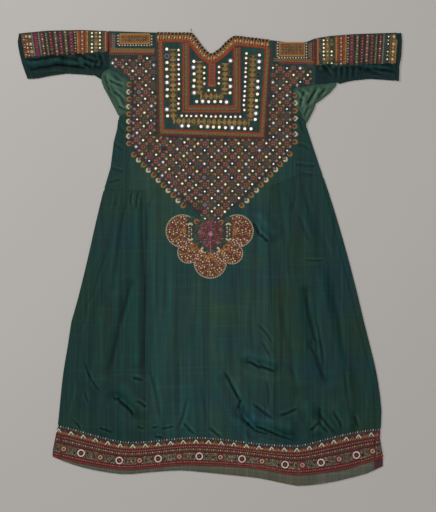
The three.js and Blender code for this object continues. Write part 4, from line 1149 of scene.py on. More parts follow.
# Paths of the yoke's borders and the placket, and radii of the mirrors
YOKE = ((-140, 572), (-136, 324), (148, 314), (164, 552))
YOKE_INNER = ((-73, 568), (-73, 383), (83, 383), (83, 556))
PLACKET = ((6.5, 514), (6.5, 454))
LARGE_MIRROR = 3.9
SMALL_MIRROR = 3.0
TRELLIS_MIRROR = 2.3


def make_neck():
    """The neck's ochre band with its rows of knots, the checked binding and the placket."""
    binding = Needlework(lambda x, y: NECK_BINDING_TOP + 0 * x, 11)
    checks = ["black", "black", "black", "gold", "brown"]
    binding.laid(beside(NECK, 2.0), 5.6, checks, 1.95, 0.15, base=0.0, rise=0.6)
    for thread in LOOSE_THREADS:
        binding.stitch(*thread, 1.2, "black", 0.6, 0.0)
    binding.build("neck_checks", None)
    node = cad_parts["neck_binding"]
    node.data.materials.clear()
    node.data.materials.append(thread_materials()[COLOURS.index("brown")])

    work = Needlework(front, 12)
    work.ground(frame_loops("neck_band"), "ochre", 5.0)
    middle = beside(NECK, NECK_BAND_MIDDLE)
    bars = ["ochre", "gold", "ochre", "black", "orange", "gold", "ochre", "maroon"]
    work.laid(middle, 13.0, bars, 1.8, base=GROUND)
    work.dots(middle, 7.2, 1.9, ["white", "orange", "cream", "gold"], base=GROUND + 0.5)
    for offset, colours, pitch in ((-4.4, ["brown", "gold"], 3.6), (4.4, ["gold", "brown"], 3.6)):
        work.dots(beside(NECK, NECK_BAND_MIDDLE + offset), pitch, 1.4, colours, base=GROUND + 0.4)
    for offset, colour, width in ((-7.0, "brown", 1.8), (6.8, "red", 3.0)):
        work.chain(beside(NECK, NECK_BAND_MIDDLE + offset), width * 1.5, colour, 3.0, base=GROUND)
    work.chain(beside(NECK, NECK_BAND_MIDDLE + 9.6), 3.4, "orange", 3.0)
    work.chain(beside(NECK, NECK_BAND_MIDDLE + 12.0), 3.0, "red", 3.0)
    work.build("neck_band_work", "neck_band")

    strip = Needlework(front, 13)
    strip.ground(frame_loops("neck_placket"), "brown", 5.0)
    strip.laid(PLACKET, 8.5, ["shadow", "brown", "rose", "maroon"], 1.7, 0.8, base=GROUND)
    strip.dots(PLACKET, 4.5, 1.2, ["gold", "maroon"], base=GROUND + 0.5)
    for offset, colour in ((-9, "red"), (-5.8, "orange"), (5.8, "orange"), (9, "red")):
        strip.chain(beside(PLACKET, offset), 3.4, colour, 3.0, base=GROUND)
    strip.laid(((6.5, 460), (6.5, 453)), 19, "orange", 1.3, base=GROUND + 0.2)
    strip.build("placket_work", "neck_placket")


def border_rows(work, path, rows):
    """Rows of a border: distance to the left of its path, kind, width or pitch, and colours."""
    for distance, kind, width, colours in rows:
        line = beside(path, -distance)
        if kind == "line":
            work.chain(line, width, colours, 3.2, base=GROUND)
        elif kind in ("braid", "weave"):
            work.laid(line, width, colours, 1.7, 0.8 if kind == "braid" else -0.8, base=GROUND)
        else:
            work.dots(line, width, 1.1, colours, base=GROUND + 0.5)


# Rows of the yoke's outer and inner border, in the columns of border_rows
OUTER_ROWS = (
    (1.2, "line", 3.2, "crimson"), (3.2, "line", 1.4, "maroon"),
    (5.4, "braid", 3.4, ["khaki", "night", "olive", "brown"]),
    (9.2, "weave", 3.4, ["brown", "gold", "night", "sage"]),
    (7.2, "dots", 3.9, ["gold", "night", "grey"]),
    (12.6, "line", 3.2, "orange"), (15.4, "line", 3.2, "red"), (17.2, "line", 1.6, "olive"),
)
INNER_ROWS = (
    (1.5, "line", 3.2, "red"), (4.2, "line", 3.0, "orange"),
    (8.6, "braid", 3.6, ["khaki", "brown", "olive", "night"]),
    (12.4, "weave", 3.6, ["night", "gold", "brown", "sage"]),
    (10.4, "dots", 4.1, ["gold", "brown", "grey"]),
    (16.6, "line", 3.0, "orange"), (19.4, "line", 3.2, "red"),
)


def make_yoke_borders():
    """The yoke's two square frames."""
    for name, node, path, rows, seed in (
        ("yoke_outer_work", "yoke_border_outer", YOKE, OUTER_ROWS, 21),
        ("yoke_inner_work", "yoke_border_inner", YOKE_INNER, INNER_ROWS, 22),
    ):
        work = Needlework(front, seed)
        work.ground(frame_loops(node), "night")
        border_rows(work, path, rows)
        work.build(name, node)


# Rows of mirrors and lozenges in the yoke, each along a line
LARGE_ROWS = (
    ((-113, 560), (-112, 366)), ((-98, 350), (118, 341)), ((121, 356), (133, 544)),
    ((-42, 528), (-41, 428)), ((-42, 413), (54, 412)), ((54, 428), (56, 530)),
)
SMALL_ROWS = (
    ((-82, 556), (-81, 388)), ((-80, 376), (88, 372)), ((91, 384), (98, 546)),
    ((-14, 510), (-14, 454)), ((-10, 444), (22, 443)), ((24, 454), (26, 512)),
)
OCHRE_ROWS = (
    ((-97, 552), (-96, 366)), ((-96, 362), (106, 356)), ((108, 362), (116, 536)),
    ((-27, 520), (-27, 432)), ((-24, 427), (38, 426)), ((40, 432), (42, 514)),
)
LARGE_PITCH = 17.0
SMALL_PITCH = 12.9
LOZENGE_PITCH = 13.5


def knots_between(work, path):
    """Knots on both sides of a row of large mirrors, at the gaps between them."""
    x, y, dx, dy = spaced(path, LARGE_PITCH / 2)
    for side in (-7.4, 7.4):
        at_x, at_y = (x - dy * side)[1::2], (y + dx * side)[1::2]
        work.knot(at_x, at_y, 1.7, in_turn(["olive", "brown", "shadow"], len(at_x)))


def make_yoke_mirrors():
    """The rows of mirrors and serrated ochre strips between the yoke's borders."""
    work = Needlework(front, 31)
    for rows, pitch, radius, rings, width, wander, missing in (
        (LARGE_ROWS, LARGE_PITCH, LARGE_MIRROR, ["shadow", "lilac", "shadow", "olive"], 3.4, 0.6, 0.14),
        (SMALL_ROWS, SMALL_PITCH, SMALL_MIRROR, ["olive", "shadow", "brown", "rose"], 2.6, 0.5, 0.06),
    ):
        for path in rows:
            x, y, _, _ = spaced(path, pitch)
            x = x + work.random.normal(0, wander, len(x))
            y = y + work.random.normal(0, wander, len(y))
            work.mirrors(x, y, radius, rings, width, missing)
            if rows is LARGE_ROWS:
                knots_between(work, path)
    for path in OCHRE_ROWS:
        work.serrated(path, 1.5, 19.0, LOZENGE_PITCH, ["ochre", "khaki", "gold", "khaki", "olive"])
        work.dots(path, LOZENGE_PITCH, 1.9, ["brown", "gold"], base=0.7)
        for distance, colour in ((-10.0, "night"), (-7.2, "black"), (7.2, "black"), (10.0, "navy")):
            work.laid(beside(path, distance), 4.0, [colour, "olive", "black", "brown"], 1.7, 0.6, base=0.0)
    work.build("yoke_mirrors", None)


# Shoulder blocks: the block's corners, the rows round it, and the red line outside them
SHOULDER_BOXES = {
    "left": {
        "block": ((-237, 598), (-158, 598), (-158, 567), (-237, 567)),
        "rows": (
            ((-262, 553), (-146, 551)), ((-257, 594), (-257, 556)), ((-262, 545), (-146, 544)),
            ((-262, 549), (-146, 547.5)), ((-252, 594), (-252, 556)),
        ),
        "red": ((-263, 594), (-263, 539), (-145, 539)),
    },
    "right": {
        "block": ((186, 569), (252, 569), (252, 534), (186, 534)),
        "rows": (
            ((170, 527), (270, 523)), ((269, 570), (269, 527)), ((170, 522), (276, 518)),
            ((264, 566), (264, 530)), ((178, 566), (178, 532)),
        ),
        "red": ((170, 517), (276, 513), (276, 572)),
    },
}
BOX_THREADS = (
    ["ochre", "green", "gold", "brown"], ["rose", "soot", "sage", "grey"], ["clay", "olive", "ochre"],
)
BOX_FILL = {"orange": 0.3, "ochre": 0.3, "gold": 0.16, "brown": 0.16, "olive": 0.08}
BOX_KNOT_PITCH = 7.5
BOX_MARGIN = 5  # from the block's edge to its first knots, and to the dots round it


def make_shoulder_boxes():
    """The ochre blocks on the shoulders, with their dots and lines."""
    for side, seed in (("left", 41), ("right", 42)):
        box = SHOULDER_BOXES[side]
        node = f"shoulder_box_{side}"
        work = Needlework(front, seed)
        loops = frame_loops(node)
        work.ground(loops, "night")
        block = np.array(box["block"], float)[::-1]
        block[:, 1] = np.minimum(block[:, 1], max(loop[:, 1].max() for loop in loops) - 2)
        work.fill(block, 2.0, 3.4, list(BOX_FILL), 0.78, 1.7, GROUND, list(BOX_FILL.values()))
        low, high = block.min(0), block.max(0)
        for x in np.arange(low[0] + BOX_MARGIN, high[0] - 2, BOX_KNOT_PITCH):
            for y in np.arange(low[1] + BOX_MARGIN, high[1] - 3, BOX_KNOT_PITCH):
                work.knot(x, y, 1.2, "gold", 0.9, GROUND + 0.4)
        for depth, colour in ((3.1, "orange"), (0.1, "gold")):
            work.chain(contour(block, depth, 3.0), 3.2, colour, 3.0, base=GROUND + 0.1)
        corners = block + BOX_MARGIN * np.array([(-1, -1), (1, -1), (1, 1), (-1, 1)])
        dots = clipped(spaced(corners, 7.4, True), loops, 1.5)
        work.dots(dots, 7.4, 1.9, ["white", "cream"], base=GROUND + 0.3)
        for k, path in enumerate(box["rows"]):
            row = clipped(spaced(path, 1.5), loops, 1.0)
            work.laid(row, 3.8, BOX_THREADS[k % 3], 1.5, 0.5, base=GROUND)
        work.laid(clipped(spaced(box["red"], 1.3), loops, 0.6), 3.4, "red", 1.3, base=GROUND)
        work.build(f"shoulder_work_{side}", node)


TRELLIS_START = (-175.4, 302.1)  # a mirror of the trellis
TRELLIS_PITCH = 18.1
TRELLIS_COLUMNS = (-6, 27)  # counted from that mirror
TRELLIS_ROWS = (-15, 14)
TRELLIS_SAG = {"level": -30, "rows": 0.06, "columns": 0.045}  # how its left half leans
TRELLIS_HEARTS = (
    ((-212, 468), (-212, 292)), ((-206, 280), (-62, 132)),
    ((78, 132), (218, 282)), ((225, 296), (225, 440)),
)
HEART_PITCH = 19.5
HEART_SIZE = 1.8


def trellis_points(work):
    """Columns and rows of the trellis's crossings, and where they lie."""
    i, j = np.meshgrid(np.arange(*TRELLIS_COLUMNS), np.arange(*TRELLIS_ROWS))
    i, j = i.ravel(), j.ravel()
    x, y = TRELLIS_START[0] + i * TRELLIS_PITCH, TRELLIS_START[1] + j * TRELLIS_PITCH
    left = np.clip(TRELLIS_SAG["level"] - x, 0, None)
    lean = TRELLIS_SAG["columns"] * (TRELLIS_START[1] - y) * (left > 0)
    x = x + work.random.normal(0, 0.6, len(x)) - lean
    y = y + work.random.normal(0, 0.6, len(y)) + TRELLIS_SAG["rows"] * left
    return i, j, x, y


def trellis_leaves(work, x, y, loops, turn, colours):
    """Leaves on both sides of the flowers along one diagonal, and the thin lines beside them."""
    step_x = TRELLIS_PITCH / 2
    step_y = step_x * math.copysign(1, turn)
    for side in (1, -1):
        px, py = x + side * step_x, y + side * step_y
        held = within(px, py, loops, 2.6)
        work.ovals(px[held], py[held], turn, 7.8, 5.2, colours, GROUND + 0.1)
    across = within(x, y, loops, 8.0)
    px, py = x[across], y[across]
    c, s = math.cos(turn), math.sin(turn)
    for offset in (-4.0, 4.0):
        ox, oy = -s * offset, c * offset
        for near, far, colour in ((3.0, 15.5, "olive"), (-3.0, -15.5, "brown")):
            work.stitch(
                px + near * c + ox, py + near * s + oy, px + far * c + ox, py + far * s + oy,
                1.7, colour, 0.4, GROUND,
            )


def make_trellis():
    """The diagonal trellis of mirrors and flowers, with hearts and crescents along its edge."""
    work = Needlework(front, 51)
    loops = frame_loops("trellis_field")
    i, j, x, y = trellis_points(work)
    work.ground(loops, "soot")
    mirror = ((i + j) % 2 == 0) & within(x, y, loops, 3.6)
    for parity, rings, grown in (
        (0, ["olive", "shadow", "khaki"], 0.4), (1, ["shadow", "navy", "lilac"], 0.0),
    ):
        row = mirror & (j % 2 == parity)
        work.mirrors(x[row], y[row], TRELLIS_MIRROR + grown, rings, 3.2, 0.05)
    odd = (i + j) % 2 == 1
    flower = odd & within(x, y, loops, 3.4)
    petals = ["clay", "rose", "clay", "clay", "shadow"]
    work.flowers(x[flower], y[flower], 8.0, 4, petals, math.pi / 4, "maroon", 3, 0.36, GROUND)
    petals = ["maroon", "brown", "crimson"]
    work.flowers(x[flower], y[flower], 4.6, 4, petals, 0.0, None, 1, base=GROUND)
    for dx, dy in ((1, 0), (-1, 0), (0, 1), (0, -1)):
        at_x, at_y = x[mirror] + 8.2 * dx, y[mirror] + 8.2 * dy
        held = within(at_x, at_y, loops, 2.5)
        colour = in_turn(["clay", "olive", "rose", "brown", "olive"], held.sum())
        work.knot(at_x[held], at_y[held], 1.5, colour, 0.7, GROUND)
    for turn, colours in (
        (math.pi / 4, ["peach", "grey", "peach", "pink", "rose"]),
        (-math.pi / 4, ["pink", "clay", "peach", "magenta", "cream", "pink"]),
    ):
        trellis_leaves(work, x[odd], y[odd], loops, turn, colours)
    for path in TRELLIS_HEARTS:
        for n, (px, py, ex, ey) in enumerate(zip(*spaced(path, HEART_PITCH))):
            make_heart(work, px, py, math.atan2(-ex, ey), n % 2 == 0)
    work.build("trellis_work", "trellis_field")


def make_heart(work, x, y, turn, warm, base=0.3):
    """A heart or a crescent that points out of the trellis."""
    c, s = math.cos(turn) * HEART_SIZE, math.sin(turn) * HEART_SIZE

    def place(u, v):
        return x + c * u - s * v, y + s * u + c * v

    for angle in np.linspace(-2.4, 2.4, 11):
        reach = 5.2 - 1.0 * abs(math.sin(angle))
        outer = place(reach * math.cos(angle) + 0.8, reach * math.sin(angle))
        inner = place(1.7 * math.cos(angle), 1.7 * math.sin(angle))
        if warm or abs(angle) < 1.5:
            work.stitch(*inner, *outer, 4.4, "ochre" if warm else "cream", 0.7, base)
    for angle in np.linspace(0, 5.3, 6):
        outer = place(-2.0 + 2.6 * math.cos(angle), 2.6 * math.sin(angle))
        colour = "crimson" if warm else ("magenta", "rose")[int(angle) % 2]
        work.stitch(*place(-2.0, 0), *outer, 2.6, colour, 0.6, base + 0.3)
    work.knot(*place(-0.6, 0), 1.9, "brown" if warm else "pink", 0.8, base + 0.7)


MEDALLION_HEART = (
    (-60, 116), (-61, 52), (-46, 40), (-27, 24), (-10, 12),
    (16, 12), (33, 24), (50, 40), (62, 52), (60, 116),
)
MEDALLION_MIDDLE = (2, 50)
MEDALLION_MOUTH = 52  # half the width of its open top
MEDALLION_ROWS = 15  # rows of fill from the outline to the heart
MEDALLION_FIRST = 0.955  # size of the outermost row against the outline
MEDALLION_SHRINK = 0.042  # how much smaller each row is than the one outside it
MEDALLION_RED_ROWS = 9  # how far in the darker rows go

# The plant in the heart: its middle, its reach, its fill with the share of each thread, and
# its rings of flowers as count, reach, size, colours and heart
PLANT_MIDDLE = (3, 62)
PLANT_REACH = (36, 38)
PLANT_FILL = {
    "magenta": 0.26, "crimson": 0.26, "rose": 0.16, "maroon": 0.1, "green": 0.08, "navy": 0.04, "pink": 0.1,
}
PLANT_RINGS = (
    (1, 0, 7.5, ["pink"], "white"), (6, 15, 6.4, ["crimson", "magenta", "crimson"], "peach"),
    (10, 29, 5.6, ["rose", "crimson", "magenta", "crimson"], "peach"),
)

# Motifs of the medallion: hearts and fans as x, y and turn, and strips as x
MEDALLION_HEARTS = ((-33, 94, 2.4), (29, 92, 0.7), (-42, 28, -2.3), (46, 26, -0.8))
MEDALLION_FANS = ((-72, 72, 0.0), (74, 72, math.pi), (-42, 26, 0.9), (46, 24, 2.2), (3, -3, 1.57))
MEDALLION_STRIPS = (-51, 50)


def medallion_rim(work, edge, middle):
    """The grey line and the pale dots round the medallion, but for its open top."""
    for step, row in ((2.6, "chain"), (5.2, "dots")):
        rim = contour(edge, 1.2, step)
        rim = chosen(rim, (np.abs(rim[0] - middle[0]) > MEDALLION_MOUTH) | (rim[1] < middle[1]))
        if row == "chain":
            work.chain(rim, 3.4, "grey", step, base=GROUND)
        else:
            work.dots(rim, step, 1.5, "cream", base=GROUND + 0.6)


def medallion_lobes(work, loop, edge, middle, heart):
    """Rows that repeat the outline inwards, red and ochre by turns, with knots on them."""
    for k in range(MEDALLION_ROWS):
        size = MEDALLION_FIRST - MEDALLION_SHRINK * k
        track = clipped(spaced(middle + (edge - middle) * size, 1.7, True), [loop], 2.8)
        track = chosen(track, ~inside(track[0], track[1], heart))
        if k % 2:
            work.laid(track, 4.0, ["red", "orange", "red", "crimson", "brown"], 1.7, 0.35, base=GROUND)
            knots = chosen(track, slice(k % 4, None, 4))
            work.dots(knots, 5, 1.9, ["white", "crimson", "pink", "cream"], base=GROUND + 0.5)
        else:
            inner = k >= MEDALLION_RED_ROWS
            fill = ["ochre", "gold", "brown", "ochre"] if inner else ["brown", "olive", "ochre", "soot"]
            work.laid(track, 4.0, fill, 1.7, -0.35, base=GROUND)
            knots = chosen(track, slice(k % 5, None, 5))
            work.dots(knots, 5, 1.6, ["gold", "maroon"], base=GROUND + 0.4)


def medallion_plant(work, loop, heart):
    """The dark heart with its plant of red flowers."""
    dark = np.array([p for p in dense(heart, 3.0) if within(p[0], p[1], [loop], 1.0)[0]])
    work.fill(dark, 2.2, 5.0, ["night", "green", "teal"], 0.5, 3.0, GROUND + 0.1, [0.5, 0.3, 0.2])
    angles = np.arange(0, 6.28, 0.3)
    plant = np.array(PLANT_MIDDLE) + np.column_stack([np.cos(angles), np.sin(angles)]) * PLANT_REACH
    plant = plant[within(plant[:, 0], plant[:, 1], [dark])]
    work.fill(plant, 3.0, 4.6, list(PLANT_FILL), 0.7, 2.6, GROUND + 0.3, list(PLANT_FILL.values()))
    for count, reach, size, colours, middle in PLANT_RINGS:
        turn = np.arange(count) * 2 * math.pi / count + 0.4
        px, py = PLANT_MIDDLE[0] + reach * np.cos(turn), PLANT_MIDDLE[1] + reach * np.sin(turn)
        held = within(px, py, [dark], 2.0)
        work.flowers(px[held], py[held], size, 6, colours, 0.2, middle, 3, base=0.9)


def medallion_motifs(work):
    """Hearts, strips with crescents at their ends, fans, and the stem of the plant."""
    for x, y, turn in MEDALLION_HEARTS:
        make_heart(work, x, y, turn, True, GROUND + 0.8)
    for x in MEDALLION_STRIPS:
        work.laid(((x, 92), (x, 44)), 15.0, ["night", "green", "night"], 1.8, base=GROUND + 0.1)
        for offset, colours in ((-3.2, ["cream", "rose"]), (3.2, ["rose", "cream"])):
            work.dots(((x + offset, 82), (x + offset, 54)), 5.4, 2.3, colours, base=GROUND + 0.5)
        for y, start in ((84, 0.2), (52, 0.2 + math.pi)):
            crescent = arc(x, y, 5.8, start, start + math.pi - 0.4)
            work.laid(crescent, 4.6, "cream", 1.4, base=GROUND + 0.5)
    for x, start in ((-16, 1.6), (20, -1.5)):
        work.laid(arc(x, 20, 6.0, start, start + math.pi), 4.4, "cream", 1.4, base=GROUND + 0.5)
    for x, y, turn in MEDALLION_FANS:
        for k, colour in enumerate(("ochre", "gold", "orange", "ochre")):
            fan = arc(x, y, 2 + 2.4 * k, turn - 1.35, turn + 1.35, 8)
            work.laid(fan, 4.2, colour, 1.5, base=GROUND + 0.6)
    work.dots(((3, 44), (3, 8)), 5.2, 2.2, ["pink", "rose"], base=GROUND + 0.5)


def make_medallion():
    """The lobed medallion: rows that repeat its outline, round a dark heart with a plant."""
    work = Needlework(front, 61)
    loop = frame_loops("medallion")[0]
    heart = np.array(MEDALLION_HEART, float)
    middle = np.array(MEDALLION_MIDDLE, float)
    work.ground([loop], "brown")
    edge = dense(loop, 2.5)
    medallion_rim(work, edge, middle)
    medallion_lobes(work, loop, edge, middle, heart)
    medallion_plant(work, loop, heart)
    medallion_motifs(work)
    work.build("medallion_work", "medallion")


# Stripes of a sleeve's border, from the armhole to the cuff: distance, kind, width, colours
STRIPES = (
    (0.6, "laid", 4.4, ["red", "crimson"]), (4.6, "laid", 3.6, ["ochre", "gold"]),
    (8.6, "laid", 2.4, ["rose", "shadow", "night"]), (12.2, "laid", 2.4, ["green", "khaki", "black"]),
    (19.8, "mirrors", 2.5, ["olive", "khaki"]),
    (29.8, "serrated", 12.5, ["khaki", "brown", "olive", "ochre"]),
    (29.8, "dots", 9.6, ["white", "cream", "rose"]), (40.8, "mirrors", 2.5, ["olive", "khaki"]),
    (47.6, "laid", 4.0, ["olive", "night", "brown"]), (53.2, "serrated", 5.0, ["ochre", "gold"]),
    (58.0, "laid", 4.0, ["orange", "red", "red"]), (66.0, "laid", 8.0, ["ochre", "brown", "orange", "brown"]),
    (66.0, "dots", 5.6, ["white", "rose", "cream", "orange"]), (74.0, "laid", 5.0, ["red", "orange"]),
    (78.4, "serrated", 4.6, ["ochre", "gold"]), (84.4, "zigzag", 5.0, "black"),
    (84.4, "dots", 7.0, ["cream", "mint"]),
    (94.6, "laid", 10.0, ["crimson", "maroon", "magenta", "brown"]), (94.6, "dots", 9.4, ["pink", "rose"]),
    (102.0, "zigzag", 4.4, "black"), (109.0, "laid", 6.8, ["olive", "brown", "khaki", "night"]),
    (109.0, "dots", 7.4, ["cream", "mint", "khaki"]), (115.0, "zigzag", 4.4, "black"),
    (122.2, "laid", 8.8, ["maroon", "brown", "crimson"]), (122.2, "dots", 8.0, ["rose", "pink", "lilac"]),
    (129.0, "zigzag", 4.0, "black"), (135.2, "laid", 6.4, ["shadow", "brown", "rose"]),
    (135.2, "dots", 8.4, ["cream", "grey"]), (141.0, "zigzag", 4.0, "black"),
    (148.2, "laid", 7.6, ["maroon", "crimson", "brown"]), (148.2, "dots", 9.0, ["peach", "rose", "pink"]),
    (154.0, "zigzag", 3.6, "black"), (159.0, "laid", 4.8, ["olive", "night", "sage"]),
    (159.0, "dots", 7.0, ["mint", "khaki"]), (163.6, "zigzag", 3.6, "black"),
    (169.8, "laid", 8.4, ["crimson", "maroon", "brown"]), (169.8, "dots", 6.4, ["pink", "rose", "white"]),
    (178.4, "laid", 3.4, ["mint", "green", "sage"]),
)
LEFT_CUFF_STRIPES = (
    (187.6, "laid", 9.6, ["magenta", "maroon", "magenta"]), (187.6, "dots", 13.0, ["rose", "magenta"]),
    (196.4, "laid", 3.0, ["mint", "green"]), (202.5, "laid", 8.0, ["brown", "maroon", "olive", "clay"]),
    (202.5, "mirrors", 2.0, ["cream", "olive"]), (212.0, "laid", 8.4, ["crimson", "clay", "brown", "maroon"]),
    (212.0, "mirrors", 2.0, ["gold", "rose"]), (221.0, "laid", 7.4, ["ochre", "maroon", "brown", "brown"]),
    (219.0, "dots", 6.6, ["gold", "cream", "red"]), (227.6, "laid", 3.4, ["maroon", "brown"]),
)
RIGHT_CUFF_STRIPES = (
    (184.0, "laid", 3.4, ["night", "green", "shadow"]), (190.6, "mirrors", 2.0, ["shadow", "olive"]),
    (197.6, "laid", 4.4, ["brown", "olive", "ochre"]),
    (204.8, "laid", 7.4, ["ochre", "brown", "gold", "maroon"]),
    (204.8, "mirrors", 1.7, ["cream", "khaki"]), (211.6, "laid", 4.6, ["ochre", "brown", "gold"]),
)
# How far a stripe's foot leans to the armhole: distance from the armhole, lean
STRIPE_LEAN = ((0, 0), (50, 0), (75, 4), (95, 8), (125, 11), (170, 15), (230, 17))
STRIPE_LEAN_SHARE = {"left": 1, "right": 0.45}  # how much of that lean each sleeve has
STRIPE_TOP = 600
STRIPE_FOOT = 500
STRIPE_STEPS = {"laid": 1.7, "serrated": 1.5, "mirrors": 10.2, "zigzag": 3.4}


def make_sleeve_borders():
    """The striped borders of the sleeves."""
    for side, armhole, out, cuff, seed in (
        ("left", -270.5, -1, LEFT_CUFF_STRIPES, 71), ("right", 282.5, 1, RIGHT_CUFF_STRIPES, 72),
    ):
        node = f"sleeve_border_{side}"
        work = Needlework(sleeve_front, seed)
        loops = frame_loops(node)
        work.ground(loops, "night")
        for distance, kind, width, colours in (*STRIPES, *cuff):
            lean = read(STRIPE_LEAN, 1, distance) * STRIPE_LEAN_SHARE[side]
            path = (
                (armhole + out * (distance + lean * 0.35), STRIPE_TOP),
                (armhole + out * (distance - lean * 0.65), STRIPE_FOOT),
            )
            step = STRIPE_STEPS.get(kind, width)
            track = clipped(spaced(path, step), loops, 2.2 if kind in ("mirrors", "dots") else 0.4)
            if kind == "laid":
                work.laid(track, width, colours, step, 0.35, base=GROUND)
            elif kind == "serrated":
                work.serrated(track, width * 0.6, width * 1.1, 6.8, colours, step, GROUND)
            elif kind == "dots":
                work.dots(track, step, 1.9, colours, base=GROUND + 0.5)
            elif kind == "zigzag":
                work.zigzag(track, width, step, 1.3, colours, base=GROUND + 0.2)
            else:
                work.mirrors(track[0], track[1], width, colours, 2.4, 0.05)
            if kind == "laid" and width > 6 and len(track[0]):
                work.knot(track[0][-1], track[1][-1] - 1.5, 2.6, colours[0], 0.7, GROUND)
        work.build(f"sleeve_work_{side}", node)


# The hem's border

HEM_DEPTH = 75.0  # its depth from top to edge, as its rows are counted
HEM_INNER = (-392.0, 436.0)  # where its top and edge are read
HEM_ENDS = (-424.0, 470.0)
HEM_READ_STEP = 6.0


def span_at(loop, x):
    """Lowest and highest crossing of an outline at each x."""
    low, high = np.full(len(x), 1e9), np.full(len(x), -1e9)
    for (x1, y1), (x2, y2) in zip(loop, np.roll(loop, -1, 0)):
        if x1 != x2:
            t = (x - x1) / (x2 - x1)
            met = (t >= 0) & (t <= 1)
            y = y1 + t * (y2 - y1)
            low, high = np.where(met, np.minimum(low, y), low), np.where(met, np.maximum(high, y), high)
    return low, high


class HemRows:
    """Rows that run along the hem's border at a depth below its top."""

    def __init__(self):
        self.loops = [*frame_loops("hem_band_front"), *frame_loops("hem_band_back")]
        self.x = np.arange(HEM_INNER[0], HEM_INNER[1], HEM_READ_STEP)
        self.edge, self.top = span_at(self.loops[0], self.x)
        self.top = self.extended(self.top)
        self.edge = self.extended(self.edge)
        self.x = np.concatenate([[HEM_ENDS[0]], self.x, [HEM_ENDS[1]]])

    def extended(self, line):
        """A line carried on straight to both ends of the hem."""
        start = line[0] + (line[0] - line[3]) / (3 * HEM_READ_STEP) * (self.x[0] - HEM_ENDS[0])
        end = line[-1] + (line[-1] - line[-4]) / (3 * HEM_READ_STEP) * (HEM_ENDS[1] - self.x[-1])
        return np.concatenate([[start], line, [end]])

    def level(self, depth):
        """The line at one depth below the top."""
        share = depth / HEM_DEPTH
        return self.top * (1 - share) + self.edge * share

    def track(self, depth, step, margin=1.0):
        """Evenly spaced points along that line, as far as the cloth goes."""
        path = np.column_stack([self.x, self.level(depth)])
        return clipped(spaced(path, step), self.loops, margin)


PEAK_PITCH = 33.5
RING_PLACES = (  # small and large roundels by turns
    -386, -340, -289, -239, -185, -136, -80, -27, 29, 86, 139, 200, 246, 295, 343, 389, 432,
)
RING_DEPTH = 50.0

# Rings of the roundels: radius, width, colours, base
HEM_RINGS = {
    "large": (
        (11.2, 2.6, ["crimson", "maroon"], 0.3), (8.4, 3.0, "white", 0.6), (4.2, 5.4, "maroon", 0.5),
    ),
    "small": (
        (8.0, 4.8, ["maroon", "crimson", "brown"], 0.3), (4.6, 2.8, ["cream", "pink"], 0.6),
        (2.2, 2.6, ["clay", "crimson"], 0.5),
    ),
}

# Lines of the hem below its peaks: depth, kind, width or pitch, colours
HEM_LINES = (
    (19.4, "laid", 2.2, ["night", "maroon"]), (23.2, "laid", 5.2, ["crimson", "maroon", "crimson"]),
    (23.2, "dots", 5.6, ["peach", "rose", "pink"]), (26.9, "laid", 1.8, ["soot", "night"]),
    (30.6, "laid", 4.8, ["maroon", "crimson", "brown"]), (30.6, "dots", 6.0, ["cream", "peach", "mint"]),
    (34.2, "laid", 1.6, ["soot", "olive"]), (36.4, "chain", 2.4, "crimson"),
    (38.6, "chain", 2.2, "maroon"), (62.0, "chain", 2.4, "maroon"),
    (65.8, "laid", 5.4, ["crimson", "maroon", "red"]), (65.8, "dots", 6.0, ["peach", "pink", "clay"]),
    (69.8, "laid", 2.0, ["soot", "maroon"]), (72.6, "chain", 3.2, "red"), (74.4, "chain", 2.0, "maroon"),
)
MOSAIC = {
    "sage": 0.36, "olive": 0.2, "mint": 0.1, "crimson": 0.12,
    "black": 0.08, "blue": 0.04, "orange": 0.05, "cream": 0.05,
}


